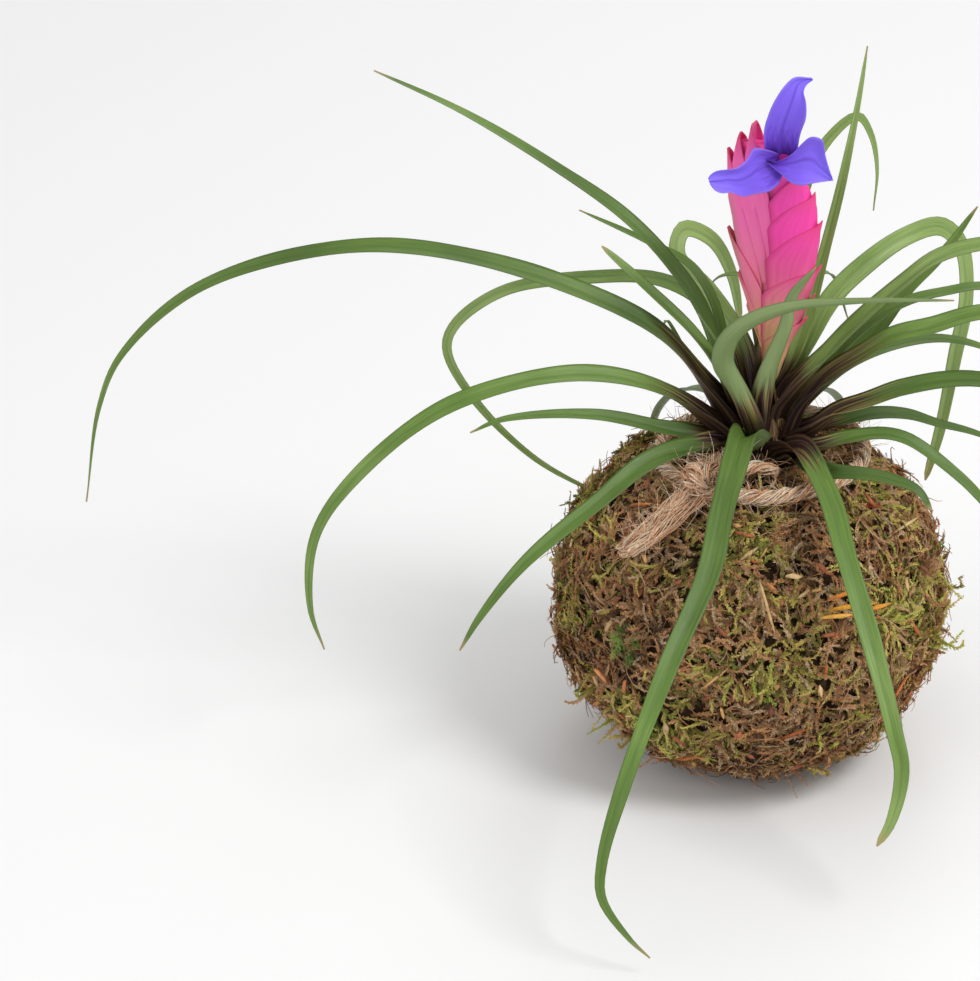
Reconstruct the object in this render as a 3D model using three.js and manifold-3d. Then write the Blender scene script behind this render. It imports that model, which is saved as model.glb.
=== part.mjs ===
// A moss ball plant: a rosette of strap leaves with a flat pink flower spike,
// growing out of a root ball wrapped in moss and tied with jute twine.
// Millimetres. Z is up, the ball rests on z = 0 and the viewer stands at -Y.
import * as THREE from "three";
import { ConvexGeometry } from "three/addons/geometries/ConvexGeometry.js";
import { mergeVertices } from "three/addons/utils/BufferGeometryUtils.js";
import Module from "manifold-3d";

const wasm = await Module();
wasm.setup();

// Root ball and the moss around it
const BALL_RADIUS = 61.5;
const BALL_SHIFT_X = -2;
const BALL_WAIST_Z = 46;
const BALL_UPPER_RISE = 58;
const BALL_LOWER_DROP = 49;
const UPPER_FULLNESS = 2.5;
const LOWER_FULLNESS = 2;
const BALL_TURNS = 56;
const OUTER_LEVELS = 24;
const INNER_LEVELS = 9;
const MOSS_THICKNESS = 7;
const MOSS_RELIEF = 1.4;
const RELIEF_FADE_FOOT = 0.12;
const RELIEF_FADE_NECK = 0.2;
const NECK_RADIUS = 13.6;
const NECK_RIM = 2.4;
const FIT_GAP = 0.4;

// Crown, the fluted cone of leaf sheaths above the root ball: height and radius at each level
const CROWN_LEVELS = [[95.7, 12.5], [106, 12.5], [115, 9.5], [124, 4.5], [126, 1.5]];
const CROWN_FLUTES = 15;
const FLUTE_DEPTH = 0.35;

// Flower spike: a flat paddle of two ranks of overlapping bracts
const SPIKE_BASE = [3, 0, 128];
const SPIKE_HALF_THICKNESS = 4;
const SPIKE_WIDEST = 15;
const SPIKE_TURN_DEG = -24;
const SPIKE_LEAN_DEG = -6;
const SPIKE_BOW = 3.5;
const SPIKE_BOW_LENGTH = 90;

// Half width of the spike at each height above its base
const SPIKE_OUTLINE = [
  [0, 1.5], [6, 4.2], [12, 6], [18, 8.6], [26, 10.8], [31, 12.3], [39, 13.9], [47, 15], [57, 15],
  [65, 13.2], [73, 11], [78, 6.4], [82.5, 1],
];

// Each bract's tip, across and up from the spike's base, in the order of the two ranks
const BRACT_TIPS = [
  [8.8, 21], [11.7, 28.8], [13.8, 38.7], [15.3, 53.3], [14.6, 62.3], [10.5, 70], [6.5, 76],
  [-8.4, 24], [-11.4, 33], [-14.8, 46.5], [-15.1, 58], [-14, 66], [-11.2, 72.6], [-6.3, 78.3], [-1, 82.2],
];
const BRACT_LENGTH = 28;
const SPIKE_FOOT_UP = -0.6;
const TIP_SPREAD = 0.45;
const BRACT_THIN_SHARE = 0.55;

// One half of a bract's outline: across as a share of the reach at that height, out as
// a share of the half thickness, and down from the tip as a share of the length
const BRACT_OUTLINE = [
  [0, 0.45, 1],
  [0.45, 0.5, 0.96],
  [0.9, 0.12, 0.75],
  [0.5, 1, 0.64],
  [-0.06, 0.95, 0.6],
  [1, 0.12, 0.43],
  [0.4, 0.8, 0.32],
  [1, 0.2, 0.18],
];

const STALK_RADIUS = 3;
const STALK_LINE = [[0.5, 0, 126.5], [1.5, 0, 128], [3, 0, 133]];
const FLOWER_TUBE_RADIUS = 2;
const FLOWER_TUBE_LINE = [[0, -1, 195], [2, -5, 199], [3.5, -8, 202.6]];

// Petals: the two edges of each, from the throat out, so that its face looks to the front
const PETAL_THICKNESS = 0.8;
const PETAL_CUP = 0.2;
const PETAL_RINGS = 14;
const PETAL_SPANS = 4;
const PETALS = [
  { name: "petal_upper", edges: [
    [[0.2, -8.8, 203.7], [-3.2, -9.6, 207], [-3.8, -10.6, 212], [-2.9, -12, 217], [-1.3, -12.5, 221.7],
      [1.4, -12.5, 226.3], [4.3, -12, 228.6], [9.6, -11.4, 228]],
    [[6.3, -8.8, 203.7], [6.7, -10, 208.6], [7.2, -11, 212.2], [8.2, -12.5, 217.4], [8, -12.8, 221],
      [7.2, -12.4, 224.2], [8, -12, 226], [10, -11.4, 227.4]],
  ] },
  { name: "petal_left", edges: [
    [[2.1, -9.6, 200.6], [-1.1, -12, 194.5], [-5.3, -13.5, 193.2], [-9.8, -14, 192.4], [-13.4, -15, 194],
      [-18.4, -15.8, 195.8]],
    [[0.9, -9.6, 203.2], [-3.3, -11.6, 205.6], [-7, -12.4, 206], [-9.4, -13, 203.6], [-13, -14, 201.6],
      [-19.2, -15.6, 199.2]],
  ] },
  { name: "petal_right", edges: [
    [[5.2, -9.8, 203.4], [8, -12.6, 206.4], [10, -13.4, 211], [13.2, -14, 210.4], [14, -14, 206.6],
      [16.2, -15, 199.6]],
    [[5, -9.6, 200.8], [3.6, -12.4, 198.6], [6.8, -14, 196.9], [10, -14.6, 197], [13, -15, 197.2],
      [16.4, -15, 197.6]],
  ] },
];

// Twine: a collar round the neck, its knot, two loose ends and a flat doubled tail
const TWINE_RADIUS = 2.3;
const TWINE_SIDES = 8;
const COLLAR_RADIUS = 31.5;
const COLLAR_STEPS = 44;
const COLLAR_Z = 101.6;
const COLLAR_TILT_DEG = -3;
const KNOT_CENTRE = [-19, -27, 104.5];
const KNOT_RADII = [7.5, 6, 5];
const KNOT_TURNS = 20;
const LOOSE_END_RADIUS = 2;
const UPPER_END = [[-18.5, -24, 106.5], [-16.5, -20.5, 108], [-14.8, -17.5, 107.6]];
const SHORT_END = [[-16, -25, 104.5], [-9.7, -21.5, 105.2], [-2.7, -20.5, 106], [3.3, -23, 105.4]];
const TAIL_WIDTH = 9;
const TAIL_THICKNESS = 4;
const TAIL_NARROWING = 0.25;
const TAIL_ROLL_DEG = 30;
const TAIL_RINGS = 9;
const TAIL_LINE = [
  [-21.1, -30, 101.8], [-28, -33.5, 98.2], [-33.6, -36, 93.7], [-38.5, -36.8, 90], [-42.3, -36.6, 87],
];

// Leaf blades: channelled, widest near the foot, never thinner than these
const BLADE_SPANS = 2;
const BLADE_THICKNESS = 1.0;
const BLADE_TIP_THICKNESS = 0.65;
const BLADE_TIP_WIDTH = 0.9;
const BLADE_CUP = 0.42;
const BLADE_TIP_CUP = 0.17;
const FOOT_WIDTH_SHARE = 0.72;
const FOOT_SPREAD = 1.6;
const BLADE_TAPER = 0.55;
const RING_SPACING = 16;
const FEWEST_RINGS = 9;
const ROLL_RAMP = 0.25;
const TWIST_START = 0.3;
const TWIST_LENGTH = 0.6;

// Each leaf: width, roll in degrees that shows its upper face, the twist and taper
// where they aren't the usual ones, and the points its midrib follows
const LEAVES = [
  { name: "leaf_left_long", width: 9.5, roll: -20, twist: -30, taper: 0.8, midrib: [
    [-12, 1, 111], [-26, 2, 134], [-43, 3, 147], [-87, 6, 163], [-126, 9, 166], [-172, 12, 152],
    [-198, 14, 128], [-206, 14, 110], [-212, 15, 76],
  ] },
  { name: "leaf_left_high", width: 7.5, roll: -12, midrib: [
    [-9, 5, 114], [-14, 7, 129], [-20, 9, 146], [-30, 13, 160], [-43, 19, 172], [-64, 29, 184],
    [-92, 42, 197], [-120, 55, 206],
  ] },
  { name: "leaf_left_curl", width: 5.5, roll: -60, twist: -30, midrib: [
    [-3, 12.6, 109], [-8, 24, 126], [-17, 32, 138], [-30, 38, 143], [-51, 47, 140], [-79, 57, 131],
    [-95, 62, 117], [-98, 64, 107], [-90, 66, 89], [-69, 68, 65], [-38, 71, 45],
  ] },
  { name: "leaf_left_arch", width: 8, roll: -20, twist: -30, midrib: [
    [-13, -4, 108], [-30, -6, 124], [-58, -12, 133], [-97, -22, 127], [-125, -28, 106],
    [-137, -31, 88], [-139, -33, 64], [-135, -34, 50],
  ] },
  { name: "leaf_left_short", width: 6, roll: -30, midrib: [
    [-14, -5, 107], [-28, -8, 112], [-52, -13, 120], [-80, -20, 122], [-90, -23, 119],
  ] },
  { name: "leaf_front_left", width: 8, roll: -20, midrib: [
    [-13, -10, 107], [-34, -23, 110], [-52, -37, 102], [-74, -53, 90], [-87, -64, 78], [-93, -68, 69],
  ] },
  { name: "leaf_front_long", width: 8.8, roll: -10, midrib: [
    [-3, -11, 107], [-7, -20, 116], [-10, -32, 115], [-16, -55, 107], [-20, -72, 98], [-33, -98, 80],
    [-46, -119, 53], [-52, -129, 34], [-52, -132, 24], [-44, -135, 12], [-38, -136, 6],
  ] },
  { name: "leaf_front_right", width: 7.6, roll: 0, twist: 30, taper: 0.3, midrib: [
    [5, -13, 107], [10, -20, 111], [17, -40, 106], [21, -59, 96], [28, -80, 77], [34, -95, 57],
    [36, -101, 47], [33, -106, 33], [29, -108, 26],
  ] },
  { name: "leaf_back_left_thin", width: 4.5, roll: -8, midrib: [
    [-6, 8, 111], [-11, 14, 129], [-15, 18, 144], [-22, 23, 154], [-35, 30, 159], [-56, 46, 163],
  ] },
  { name: "leaf_left_spear", width: 6, roll: -30, twist: -30, taper: 0.4, midrib: [
    [-9, 0, 115], [-15, -1, 131], [-22, 1, 141], [-36, 6, 154], [-50, 10, 166],
  ] },
  { name: "leaf_loop", width: 7, roll: -10, twist: 60, taper: 0.3, midrib: [
    [-3, 6, 118], [-7, 19, 131], [-16, 27, 143], [-26, 31, 154], [-24, 37, 160], [-15, 42, 155],
    [-8, 46, 142], [-4, 49, 124],
  ] },
  { name: "leaf_back_hook", width: 4.5, roll: 0, midrib: [
    [2, 7, 116], [8, 21, 136], [15, 31, 145], [23, 40, 144], [30, 46, 126],
  ] },
  { name: "leaf_back_short", width: 4, roll: 0, midrib: [
    [1, 8, 121], [-2, 18, 138], [-5, 25, 149], [-12, 31, 147], [-17, 37, 139],
  ] },
  { name: "leaf_left_stub", width: 5, roll: 0, midrib: [
    [-8, -2, 118], [-14, -3, 138], [-21, -4, 150],
  ] },
  { name: "leaf_left_small", width: 4.5, roll: 0, midrib: [
    [-9, 6, 109], [-22, 13, 126], [-29, 17, 138], [-30, 21, 135],
  ] },
  { name: "leaf_upright", width: 6.5, roll: 10, midrib: [
    [5, 3, 120], [8, 4, 127], [13, 6, 145], [17, 8, 163], [22, 10, 187], [26, 12, 212], [28, 13, 229],
  ] },
  { name: "leaf_back_tall", width: 6.5, roll: 20, twist: 30, taper: 0.7, midrib: [
    [1, 5, 124], [5, 14, 149], [10, 21, 174], [17, 29, 190], [28, 34, 199], [33, 37, 192],
    [36, 40, 179], [36, 43, 164],
  ] },
  { name: "leaf_right_arch", width: 7, roll: 70, twist: 60, taper: 0.3, midrib: [
    [8, 7, 115], [13, 9, 132], [21, 13, 148], [31, 19, 156], [44, 27, 162], [56, 35, 162],
    [63, 38, 154], [66, 40, 136], [64, 41, 115], [61, 41, 90], [57, 40, 71],
  ] },
  { name: "leaf_right_long", width: 9, roll: 10, midrib: [
    [7, -2, 117], [16, -2, 131], [28, -4, 147], [41, -6, 161], [50, -7, 169], [62, -9, 174],
    [91, -12, 177], [122, -16, 165], [142, -18, 140],
  ] },
  { name: "leaf_right_spear", width: 8, roll: 30, midrib: [
    [9, 6, 113], [20, 10, 122], [35, 15, 135], [45, 19, 148], [55, 23, 157], [66, 27, 172],
  ] },
  { name: "leaf_right_fine", width: 5.5, roll: 10, midrib: [
    [10, 1, 113], [29, 6, 139], [43, 8, 148], [57, 10, 151], [65, 11, 152], [92, 15, 147],
    [118, 19, 129], [130, 21, 108],
  ] },
  { name: "leaf_cross", width: 8, roll: 60, twist: 30, midrib: [
    [-5, -10, 113], [-11, -12, 129], [-14, -15, 140], [-10, -21, 152], [3, -24, 160], [25, -25, 163],
    [53, -26, 164],
  ] },
  { name: "leaf_front_short", width: 7.5, roll: 0, twist: -30, midrib: [
    [0, -9, 115], [1, -11, 134], [5, -13, 150], [6, -14, 159], [13, -15, 170],
  ] },
  { name: "leaf_right_broad", width: 8, roll: 20, midrib: [
    [10, -4, 111], [13, -4, 120], [19, -5, 129], [29, -6, 137], [38, -8, 144], [49, -10, 148],
    [64, -13, 154], [92, -17, 154], [116, -22, 140], [132, -25, 115],
  ] },
  { name: "leaf_right_back", width: 5.5, roll: 20, midrib: [
    [9, 7, 107], [26, 17, 122], [52, 27, 127], [70, 31, 123], [93, 40, 105],
  ] },
  { name: "leaf_right_low", width: 8, roll: 40, midrib: [
    [10, -5, 107], [16, -8, 112], [22, -8, 118], [32, -11, 124], [42, -13, 129], [63, -18, 134],
    [91, -26, 128], [114, -32, 110], [125, -35, 88],
  ] },
  { name: "leaf_right_thin", width: 5.5, roll: 30, twist: -30, midrib: [
    [13, 2, 107], [19, 2, 108], [34, 4, 112], [45, 6, 111], [55, 8, 107], [69, 10, 102], [84, 12, 93],
    [97, 14, 82],
  ] },
  { name: "leaf_right_bow", width: 6, roll: 30, twist: 30, midrib: [
    [10, -11, 106], [17, -14, 109], [26, -15, 113], [35, -16, 115], [43, -18, 114], [57, -22, 105],
    [65, -25, 98], [81, -30, 79],
  ] },
  { name: "leaf_right_stub", width: 6, roll: 40, taper: 0.4, midrib: [
    [9, -15, 105], [18, -26, 107], [28, -33, 110], [37, -37, 110], [44, -40, 108], [48, -43, 103],
  ] },
  { name: "leaf_back_right", width: 7, roll: 0, midrib: [
    [5, 10, 107], [15, 28, 108], [24, 45, 101], [32, 61, 86], [36, 70, 66],
  ] },
  { name: "leaf_back_middle", width: 7, roll: 0, midrib: [
    [0.5, 14, 108], [1, 31, 108], [2, 48, 102], [3, 66, 87], [3, 76, 64], [2, 79, 44],
  ] },
  { name: "leaf_back_left", width: 7, roll: 0, midrib: [
    [-7, 13, 108], [-14, 28, 108], [-22, 45, 101], [-29, 61, 86], [-32, 70, 66],
  ] },
];

const COLOURS = {
  leaf: 0x5c8c48,
  crown: 0x46322d,
  moss: 0x6f6340,
  soil: 0x3a2a1e,
  stalk: 0xc98a6a,
  bract: 0xe8468f,
  petal: 0x735ae1,
  twine: 0xbe9673,
};

function vector(point) {
  return new THREE.Vector3(...point);
}

function smooth(x) {
  const t = THREE.MathUtils.clamp(x, 0, 1);
  return t * t * (3 - 2 * t);
}

// Keeps only the positions, with shared vertices merged.
function welded(geometry) {
  geometry.deleteAttribute("normal");
  geometry.deleteAttribute("uv");
  return mergeVertices(geometry);
}

function moveVertices(geometry, move) {
  const places = geometry.attributes.position;
  for (let v = 0; v < places.count; v += 1) {
    places.setXYZ(v, ...move(places.getX(v), places.getY(v), places.getZ(v)));
  }
  return geometry;
}

// A closed solid from a welded geometry, without the triangles that a pole leaves empty
function solidFrom(geometry) {
  const corners = Array.from(geometry.index.array);
  const kept = [];
  for (let i = 0; i < corners.length; i += 3) {
    const triangle = corners.slice(i, i + 3);
    if (new Set(triangle).size === 3) {
      kept.push(...triangle);
    }
  }
  const mesh = new wasm.Mesh({
    numProp: 3,
    vertProperties: new Float32Array(geometry.attributes.position.array),
    triVerts: new Uint32Array(kept),
  });
  return new wasm.Manifold(mesh);
}

function joined(solids) {
  return solids.reduce((whole, solid) => whole.add(solid));
}

function nodeMesh(name, solid, color, roughness) {
  const mesh = solid.getMesh();
  const geometry = new THREE.BufferGeometry();
  const places = new Float32Array(mesh.numVert * 3);
  for (let v = 0; v < mesh.numVert; v += 1) {
    places.set(mesh.position(v), v * 3);
  }
  geometry.setAttribute("position", new THREE.BufferAttribute(places, 3));
  geometry.setIndex(new THREE.BufferAttribute(new Uint32Array(mesh.triVerts), 1));
  geometry.computeVertexNormals();
  const node = new THREE.Mesh(geometry, new THREE.MeshStandardMaterial({ color, roughness, metalness: 0 }));
  node.name = name;
  return node;
}

function smoothLine(points) {
  return new THREE.CatmullRomCurve3(points.map(vector), false, "centripetal");
}

// Evenly spaced frames along a smooth curve through the points. The side vector
// starts level and is carried along without twisting, then turned by roll and twist.
function framesAlong(points, count, roll, twist = 0) {
  const curve = smoothLine(points);
  const frames = [];
  let side = null;
  for (let i = 0; i < count; i += 1) {
    const t = i / (count - 1);
    const along = curve.getTangentAt(t);
    side = side ?? new THREE.Vector3(-along.y, along.x, 0);
    side.addScaledVector(along, -side.dot(along)).normalize();
    const turn = roll * smooth(t / ROLL_RAMP) + twist * smooth((t - TWIST_START) / TWIST_LENGTH);
    const turned = side.clone().applyAxisAngle(along, THREE.MathUtils.degToRad(turn));
    frames.push({ t, place: curve.getPointAt(t), side: turned, up: along.clone().cross(turned) });
  }
  return frames;
}

// Frames midway between two edge lines, each with the width left between them
function framesBetween([left, right], count) {
  const frames = [];
  for (let i = 0; i < count; i += 1) {
    const t = i / (count - 1);
    const [from, to] = [left, right].map((points) => smoothLine(points).getPointAt(t));
    const side = from.clone().sub(to);
    const width = side.length();
    frames.push({ t, place: from.lerp(to, 0.5), side: side.normalize(), width });
  }
  frames.forEach((frame, i) => {
    const before = frames[Math.max(0, i - 1)].place;
    const after = frames[Math.min(count - 1, i + 1)].place;
    frame.up = after.clone().sub(before).cross(frame.side).normalize();
  });
  return frames;
}

// A blade on a row of frames: a box whose length follows them, its upper face cupped
function bladeSolid({ frames, spans, widthAt, cupAt, thicknessAt }) {
  const box = welded(new THREE.BoxGeometry(1, 1, 1, spans, frames.length - 1, 1));
  moveVertices(box, (x, y, z) => {
    const frame = frames[Math.round((y + 0.5) * (frames.length - 1))];
    const half = widthAt(frame) / 2;
    const across = -2 * x;
    const drop = z > 0 ? 0 : thicknessAt(frame);
    const lift = cupAt(frame) * half * across * across - drop;
    const sideways = frame.side.clone().multiplyScalar(across * half);
    return frame.place.clone().add(sideways).addScaledVector(frame.up, lift).toArray();
  });
  return solidFrom(box);
}

function rodSolid(points, radius, sides, steps) {
  const section = new THREE.Shape();
  for (let k = 0; k < sides; k += 1) {
    const angle = (2 * Math.PI * k) / sides;
    const corner = [radius * Math.cos(angle), radius * Math.sin(angle)];
    if (k === 0) {
      section.moveTo(...corner);
    } else {
      section.lineTo(...corner);
    }
  }
  const options = { steps, bevelEnabled: false, extrudePath: smoothLine(points) };
  return solidFrom(welded(new THREE.ExtrudeGeometry(section, options)));
}

function turnedSolid(profile, turns, move = (...place) => place) {
  const lathe = new THREE.LatheGeometry(profile.map(([radius, z]) => new THREE.Vector2(radius, z)), turns);
  return solidFrom(moveVertices(welded(lathe.rotateX(Math.PI / 2)), move));
}

// Radius and height on the ball's outline, for an angle above its waist
function ballPoint(angle, inset) {
  const fullness = angle > 0 ? UPPER_FULLNESS : LOWER_FULLNESS;
  const rise = angle > 0 ? BALL_UPPER_RISE - inset : BALL_LOWER_DROP;
  const radius = (BALL_RADIUS - inset) * Math.cos(angle) ** (2 / fullness);
  const height = Math.sign(angle) * rise * Math.abs(Math.sin(angle)) ** (2 / fullness);
  return [radius, BALL_WAIST_Z + height];
}

// The ball's outline from its floor up to the given neck, both ends on the axis
function ballProfile(levels, inset, floor, neckRadius) {
  const lowest = -Math.asin((BALL_WAIST_Z / BALL_LOWER_DROP) ** (LOWER_FULLNESS / 2));
  const highest = Math.acos((neckRadius / (BALL_RADIUS - inset)) ** (UPPER_FULLNESS / 2));
  const wall = [];
  for (let i = 0; i <= levels; i += 1) {
    const [radius, z] = ballPoint(lowest + ((highest - lowest) * i) / levels, inset);
    wall.push([radius, Math.max(z, floor)]);
  }
  return [[0, floor], ...wall, [0, wall.at(-1)[1]]];
}

// Lumps in the moss, fading out at the flat spot and at the neck. The ball also bulges
// more to one side than to the other.
function mossLump(x, y, z) {
  const turn = Math.atan2(y, x);
  const level = z / (BALL_WAIST_Z + BALL_UPPER_RISE);
  const fade = smooth(level / RELIEF_FADE_FOOT) * smooth((1 - level) / RELIEF_FADE_NECK);
  const broad = Math.sin(5 * turn + 9 * level) + Math.sin(3 * turn - 14 * level + 1.7);
  const fine = Math.sin(11 * turn - 23 * level + 0.6) * Math.sin(7 * turn + 31 * level);
  const reach = Math.hypot(x, y);
  const grown = reach === 0 ? 1 : 1 + (MOSS_RELIEF * fade * (0.35 * broad + 0.5 * fine)) / reach;
  return [x * grown + BALL_SHIFT_X * fade, y * grown, z];
}

// The moss is a cup round the root ball, open at the neck.
function mossCup() {
  const outside = ballProfile(OUTER_LEVELS, 0, 0, NECK_RADIUS + NECK_RIM);
  const inside = ballProfile(INNER_LEVELS, MOSS_THICKNESS, MOSS_THICKNESS, NECK_RADIUS);
  const aboveNeck = outside.at(-1)[1] + 1;
  const opening = [...inside.slice(0, -1), [NECK_RADIUS, aboveNeck], [0, aboveNeck]];
  return turnedSolid(outside, BALL_TURNS, mossLump).subtract(turnedSolid(opening, BALL_TURNS));
}

function rootBall() {
  const inset = MOSS_THICKNESS + 2 * FIT_GAP;
  return turnedSolid(ballProfile(INNER_LEVELS, inset, MOSS_THICKNESS + FIT_GAP, NECK_RADIUS), BALL_TURNS);
}

// The leaf sheaths as one fluted cone, grown by a clearance where leaves are cut
function crownCone(grow) {
  const wall = CROWN_LEVELS.map(([z, radius], i) => [radius + grow, z + grow * (i === 0 ? -1 : 1)]);
  const turns = 2 * CROWN_FLUTES;
  return turnedSolid([[0, wall[0][1]], ...wall, [0, wall.at(-1)[1]]], turns, (x, y, z) => {
    const reach = Math.hypot(x, y);
    const ridge = Math.round((Math.atan2(y, x) * turns) / (2 * Math.PI)) % 2 !== 0;
    const fluted = reach > 0 && ridge ? 1 + FLUTE_DEPTH / reach : 1;
    return [x * fluted, y * fluted, z];
  });
}

function lineLength(points) {
  return points.slice(1).reduce((sum, point, i) => sum + vector(point).distanceTo(vector(points[i])), 0);
}

function leafSolid({ width, roll, twist, taper = BLADE_TAPER, midrib }) {
  const outline = (t) => Math.min(1, FOOT_WIDTH_SHARE + FOOT_SPREAD * t) * (1 - t) ** taper;
  const rings = Math.round(FEWEST_RINGS + lineLength(midrib) / RING_SPACING);
  return bladeSolid({
    frames: framesAlong(midrib, rings, roll, twist),
    spans: BLADE_SPANS,
    widthAt: ({ t }) => Math.max(BLADE_TIP_WIDTH, width * outline(t)),
    cupAt: ({ t }) => THREE.MathUtils.lerp(BLADE_CUP, BLADE_TIP_CUP, t),
    thicknessAt: ({ t }) => THREE.MathUtils.lerp(BLADE_THICKNESS, BLADE_TIP_THICKNESS, t),
  });
}

// Turns spike coordinates (across its flat face, out of the face, up from its base) into place.
function spikePlace([across, out, up]) {
  const lean = THREE.MathUtils.degToRad(SPIKE_LEAN_DEG);
  const turn = THREE.MathUtils.degToRad(SPIKE_TURN_DEG);
  const side = across * Math.cos(turn) - out * Math.sin(turn);
  const depth = across * Math.sin(turn) + out * Math.cos(turn);
  const bow = SPIKE_BOW * Math.sin((Math.PI * up) / SPIKE_BOW_LENGTH);
  const x = side * Math.cos(lean) + up * Math.sin(lean) + bow;
  return new THREE.Vector3(SPIKE_BASE[0] + x, SPIKE_BASE[1] + depth, SPIKE_BASE[2] + up * Math.cos(lean));
}

// The spike's half width, read off its outline
function spikeHalfWidth(up) {
  const above = SPIKE_OUTLINE.findIndex(([level]) => level >= up);
  if (above < 1) {
    return SPIKE_OUTLINE.at(above)[1];
  }
  const [[low, lowHalf], [high, highHalf]] = SPIKE_OUTLINE.slice(above - 1, above + 1);
  return THREE.MathUtils.mapLinear(up, low, high, lowHalf, highHalf);
}

// One boat-shaped bract, folded along its keel, its tip pointing up and out
function bractSolid([tipAcross, tipUp]) {
  const length = Math.min(BRACT_LENGTH, tipUp - SPIKE_FOOT_UP);
  const fullness = spikeHalfWidth(tipUp - length / 2) / SPIKE_WIDEST;
  const thick = SPIKE_HALF_THICKNESS * (BRACT_THIN_SHARE + (1 - BRACT_THIN_SHARE) * fullness);
  const near = BRACT_OUTLINE.map(([across, out, down]) => {
    const up = tipUp - down * length;
    const reach = Math.min(spikeHalfWidth(up), Math.abs(tipAcross) + TIP_SPREAD * (tipUp - up));
    return [Math.sign(tipAcross) * across * reach, out * thick, up];
  });
  const far = near.map(([across, out, up]) => [across, -out, up]);
  const corners = [...near, ...far, [tipAcross, 0, tipUp]];
  return solidFrom(welded(new ConvexGeometry(corners.map(spikePlace))));
}

function bractSpike() {
  return joined(BRACT_TIPS.map(bractSolid));
}

function petalSolid({ edges }) {
  return bladeSolid({
    frames: framesBetween(edges, PETAL_RINGS),
    spans: PETAL_SPANS,
    widthAt: ({ width }) => Math.max(1, width),
    cupAt: () => PETAL_CUP,
    thicknessAt: () => PETAL_THICKNESS,
  });
}

function collarSolid(radius) {
  const torus = new THREE.TorusGeometry(COLLAR_RADIUS, radius, TWINE_SIDES, COLLAR_STEPS);
  torus.rotateY(THREE.MathUtils.degToRad(COLLAR_TILT_DEG)).translate(0, 0, COLLAR_Z);
  return solidFrom(welded(torus));
}

function knotSolid(grow) {
  const ball = new THREE.SphereGeometry(1, KNOT_TURNS, KNOT_TURNS / 2);
  ball.scale(...KNOT_RADII.map((radius) => radius + grow)).translate(...KNOT_CENTRE);
  return solidFrom(welded(ball));
}

function twineTie(grow) {
  return joined([
    collarSolid(TWINE_RADIUS + grow),
    knotSolid(grow),
    rodSolid(UPPER_END, LOOSE_END_RADIUS + grow, TWINE_SIDES, 4),
    rodSolid(SHORT_END, LOOSE_END_RADIUS + grow, TWINE_SIDES, 7),
  ]);
}

// The flat doubled loop that hangs from the knot over the shoulder
function twineTail(grow) {
  return bladeSolid({
    frames: framesAlong(TAIL_LINE, TAIL_RINGS, TAIL_ROLL_DEG),
    spans: BLADE_SPANS,
    widthAt: ({ t }) => (TAIL_WIDTH + 2 * grow) * (1 - TAIL_NARROWING * t),
    cupAt: () => 0,
    thicknessAt: () => TAIL_THICKNESS + grow,
  });
}

const crownClearance = crownCone(FIT_GAP);
const tieClearance = twineTie(FIT_GAP);
const tailSolid = twineTail(0).subtract(tieClearance);
const mossSolid = mossCup().subtract(tieClearance).subtract(twineTail(FIT_GAP));
const spikeSolid = bractSpike().subtract(crownClearance);
const stalkSolid = rodSolid(STALK_LINE, STALK_RADIUS, 10, 3).subtract(crownClearance).subtract(spikeSolid);
const tubeSolid = rodSolid(FLOWER_TUBE_LINE, FLOWER_TUBE_RADIUS, 10, 4).subtract(spikeSolid);

const ball = new THREE.Group();
ball.add(nodeMesh("soil_ball", rootBall(), COLOURS.soil, 0.95));
ball.add(nodeMesh("moss_skin", mossSolid, COLOURS.moss, 0.95));

const rosette = new THREE.Group();
rosette.add(nodeMesh("leaf_crown", crownCone(0), COLOURS.crown, 0.6));
for (const leaf of LEAVES) {
  rosette.add(nodeMesh(leaf.name, leafSolid(leaf).subtract(crownClearance), COLOURS.leaf, 0.45));
}

const spike = new THREE.Group();
spike.add(nodeMesh("flower_stalk", stalkSolid, COLOURS.stalk, 0.6));
spike.add(nodeMesh("quill_bracts", spikeSolid, COLOURS.bract, 0.5));
spike.add(nodeMesh("flower_tube", tubeSolid, COLOURS.petal, 0.5));
for (const petal of PETALS) {
  spike.add(nodeMesh(petal.name, petalSolid(petal), COLOURS.petal, 0.5));
}

const tie = new THREE.Group();
tie.add(nodeMesh("twine_tie", twineTie(0), COLOURS.twine, 0.95));
tie.add(nodeMesh("twine_tail", tailSolid, COLOURS.twine, 0.95));

const plant = new THREE.Group();
plant.name = "moss_ball_plant";
plant.add(ball, rosette, spike, tie);

export default plant;
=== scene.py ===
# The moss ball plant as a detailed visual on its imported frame.
# Tables are in millimetres, Z up, the ball resting on z = 0 and the viewer at -Y.
import math
from collections import namedtuple

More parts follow.
